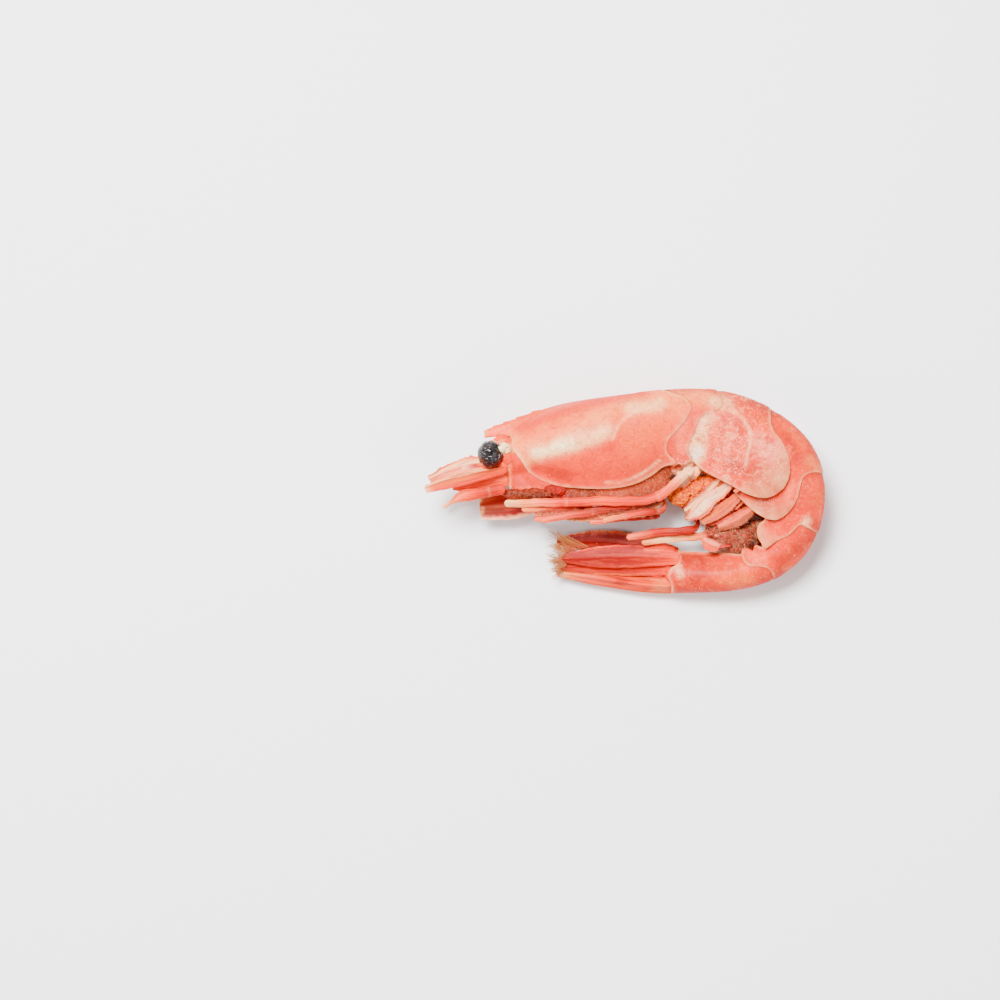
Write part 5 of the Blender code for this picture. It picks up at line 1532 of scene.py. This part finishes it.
def strip(name, line, wide, facing):
    """Ribbon along a line, whose faces look along the facing direction: a bed for hairs."""
    line = np.asarray(line, float)
    run = chord_lengths(line)
    centres = smooth(run, line, np.linspace(0, run[-1], BED_STEPS))
    ahead = np.gradient(centres, axis=0)
    across = np.cross(ahead, facing)
    across *= wide / 2 / np.linalg.norm(across, axis=1)[:, None]
    points = np.vstack([centres - across, centres + across])
    faces = [(k, k + 1, k + BED_STEPS + 1, k + BED_STEPS) for k in range(BED_STEPS - 1)]
    mesh = bpy.data.meshes.new(name)
    mesh.from_pydata(((points + SHIFT) * MM).tolist(), [], faces)
    mesh.update()
    if mesh.polygons[0].normal @ Vector(facing) < 0:
        mesh.flip_normals()
    return bpy.data.objects.new(name, mesh)


def wisps(name, material):
    """Long bristles between and behind the fan's leaves, fanning out to ragged tips.

    A bundle's roots lie between its first two places and its tips between the other two.
    """
    source = np.random.default_rng(37)
    bundles = [((-4.5, -7.9, 3.3), (-7.6, -8.3, 3.6), (-11.2, -5.0, 4.2), (-9.6, -5.6, 3.6), 24),
               ((-6.4, -8.1, 3.5), (-8.2, -8.6, 3.6), (-11.3, -7.6, 3.6), (-11.0, -6.2, 3.8), 22),
               ((-7.8, -9.2, 3.5), (-8.6, -10.4, 3.0), (-11.0, -8.2, 3.2), (-11.2, -9.8, 2.8), 34),
               ((-7.6, -10.6, 2.8), (-8.8, -11.2, 2.6), (-10.8, -10.0, 2.6), (-10.0, -11.3, 2.4), 22)]
    points, faces, tints = [], [], []
    sides = len(WISP_TURNS)
    steps = np.linspace(0, 1, WISP_ROWS)[:, None]
    for first, second, third, fourth, count in bundles:
        for _ in range(count):
            near, far = source.random(), source.random()
            bow, tint = source.normal(0, 0.12, 3), source.random()
            far = 0.35 * far + 0.65 * round(4 * far) / 4
            root = np.array(first) * (1 - near) + np.array(second) * near
            tip = np.array(third) * (1 - far) + np.array(fourth) * far
            centres = root + (tip - root) * steps * source.uniform(0.6, 1) + bow * np.sin(pi * steps)
            start = len(points)
            for centre, step in zip(centres, steps[:, 0]):
                thick = WISP_RADIUS * (1 - 0.8 * step)
                for turn in WISP_TURNS:
                    points.append(centre + (0, thick * cos(turn), thick * sin(turn)))
                    tints.append(0.7 * step + 0.3 * tint)
            faces += tube_faces(WISP_ROWS, sides, start) + end_faces(WISP_ROWS, sides, start)
    piece = from_faces(name, points, faces)
    write_attributes(piece, tint=np.array(tints))
    finish_piece(piece, material, "tail")


def fringes(tree, tissue, fuzzy):
    """Hairs: the fan's fringe, the furry seams under the head, and the tufts of the belly.

    A bed of hairs has its line, width and facing, then its hair, finish, slot, hairs to a square
    millimetre and how far they lean.
    """
    olive = bristle_finish("fan_bristle", FLAME, OLIVE)
    pale = bristle_finish("pale_bristle", PINK, PALE)
    dark = bristle_finish("dark_bristle", MAROON, TAN)
    tan = bristle_finish("tan_bristle", RUST, STRAW)
    long = hair_grain("long_hair", 1.9, 0.04, 0.3)
    short = hair_grain("short_hair", 0.6, 0.03, 0.25)
    curly = hair_grain("curly_hair", 1.0, 0.024, 0.25, 0.7, rows=9)

    def faces_up(middles, normals):
        return normals[:, 2] > 0.1

    beds = [
        ("fan_fringe_outer", [(-7.6, -8.3, 3.6), (-8.5, -9.2, 3.7), (-8.0, -10.1, 3.6)], 0.5,
         (-1, 0.35, 0.1), long, olive, "tail", 60, 0.3),
        ("fan_fringe_inner", [(-8.2, -9.8, 2.8), (-8.9, -10.5, 2.8), (-8.4, -11.2, 2.8)], 0.5,
         (-1, 0.05, 0), long, olive, "tail", 60, 0.25),
        ("fan_fringe_back", [(-8.4, -6.4, 0.9), (-9.2, -7.1, 0.9), (-8.6, -7.9, 0.9)], 0.4,
         (-1, 0.5, 0.2), long, olive, "tail", 40, 0.3),
        ("head_fur", [(-16.0, 0.0, 8.9), (-13.5, -0.3, 9.0), (-10.6, -0.2, 9.2)], 0.7, (0.1, -1, 0.5),
         short, dark, "leg", 45, 0.8),
        ("leg_fur", [(-12.0, -2.6, 9.2), (-6.0, -2.6, 9.6), (0.0, -2.6, 9.4), (4.4, -1.6, 9.0)], 0.7,
         (0.2, -0.8, 0.6), short, dark, "leg", 22, 1.1),
        ("jaw_fur", [(-12.2, -3.0, 8.3), (-9.8, -3.2, 8.5), (-7.6, -2.8, 8.3)], 0.8, (0.2, -0.6, 1),
         short, pale, "leg", 30, 1.0),
    ]
    for name, line, wide, facing, grain, material, slot, per_mm2, lean in beds:
        bed = strip(f"{name}_bed", line, wide, facing)
        sow(tree, name, bed, grain, material, slot, per_mm2, (0.7, 1.2), lean, 23)
        remove(bed)
    belly = part_of(tissue, "belly_bed", faces_up)
    sow(tree, "belly_fuzz", belly, short, dark, "leg", FUZZ_PER_MM2, (0.6, 1.1), 0.9, 29)
    sow(tree, "belly_curls", belly, curly, tan, "leg", CURLS_PER_MM2, (0.7, 1.2), 1.2, 31)
    remove(belly)
    for number, piece in enumerate(fuzzy):
        bed = part_of(piece, "fuzzy_bed", faces_up)
        sow(tree, f"fuzz_{number}", bed, short, tan, "leg", FUZZ_PER_MM2, (0.3, 0.7), 1.3, 41 + number)
        remove(bed)
    wisps("fan_wisps", olive)
    remove(long, short, curly)


# View and light


def camera_and_light():
    """A camera straight above, a pale floor, an even white sky and three wide soft lamps."""
    view = bpy.data.cameras.new("camera")
    view.lens, view.sensor_width = LENS, SENSOR
    camera = bpy.data.objects.new("camera", view)
    away = FRAME_WIDTH * LENS / SENSOR + MIDDLE
    camera.location = (np.array([*FRAME_CENTRE, away]) + SHIFT) * MM
    bpy.context.scene.collection.objects.link(camera)
    bpy.context.scene.camera = camera
    work = bmesh.new()
    bmesh.ops.create_grid(work, x_segments=1, y_segments=1, size=FLOOR_HALF_WIDTH * MM)
    mesh = bpy.data.meshes.new("floor")
    work.to_mesh(mesh)
    work.free()
    floor = bpy.data.objects.new("floor", mesh)
    bpy.context.scene.collection.objects.link(floor)
    paper = bpy.data.materials.new("paper_white")
    paper.use_nodes = True
    paper.node_tree.nodes["Principled BSDF"].inputs["Base Color"].default_value = (*PAPER, 1)
    paper.node_tree.nodes["Principled BSDF"].inputs["Roughness"].default_value = 0.8
    mesh.materials.append(paper)
    world = bpy.data.worlds.new("studio")
    world.use_nodes = True
    world.node_tree.nodes["Background"].inputs["Color"].default_value = (1, 1, 1, 1)
    world.node_tree.nodes["Background"].inputs["Strength"].default_value = WORLD_STRENGTH
    bpy.context.scene.world = world
    for name, place, size, power in LAMPS:
        data = bpy.data.lights.new(name, "AREA")
        data.size = size * MM
        data.energy = power
        lamp = bpy.data.objects.new(name, data)
        lamp.location = np.array(place) * MM
        lamp.rotation_euler = (-Vector(place)).to_track_quat("-Z", "Y").to_euler()
        bpy.context.scene.collection.objects.link(lamp)


def main():
    """The whole prawn and its view."""
    tree = scatter_tree()
    shell, legs, soft = shell_finish(), limb_finish(), flesh_finish()
    shield = carapace(shell)
    rings = abdomen(shell)
    head = head_block(shell)
    flesh = thorax(soft)
    limbs(legs)
    fan = tail_fan(legs)
    antennal_scales(legs)
    swimmers = pleopods(legs)
    ribbons = loose_skin(legs)
    masses = soft_lumps(soft)
    eyes(eye_finish())
    eyestalks(shell)
    roe(tree, egg_finish())
    frost(tree, [shield, *rings, head, fan["right_outer"], masses["leg_root"]])
    fuzzy = [swimmers["left", number] for number in (1, 2, 3, 4)]
    fuzzy += [ribbons[name] for name in ("torn_skin_front", "torn_skin_rear", "jaw_strip",
                                         "belly_strip_1", "belly_strip_2", "belly_strip_3")]
    fuzzy.append(flesh)
    fringes(tree, masses["belly_tissue"], fuzzy)
    camera_and_light()


main()
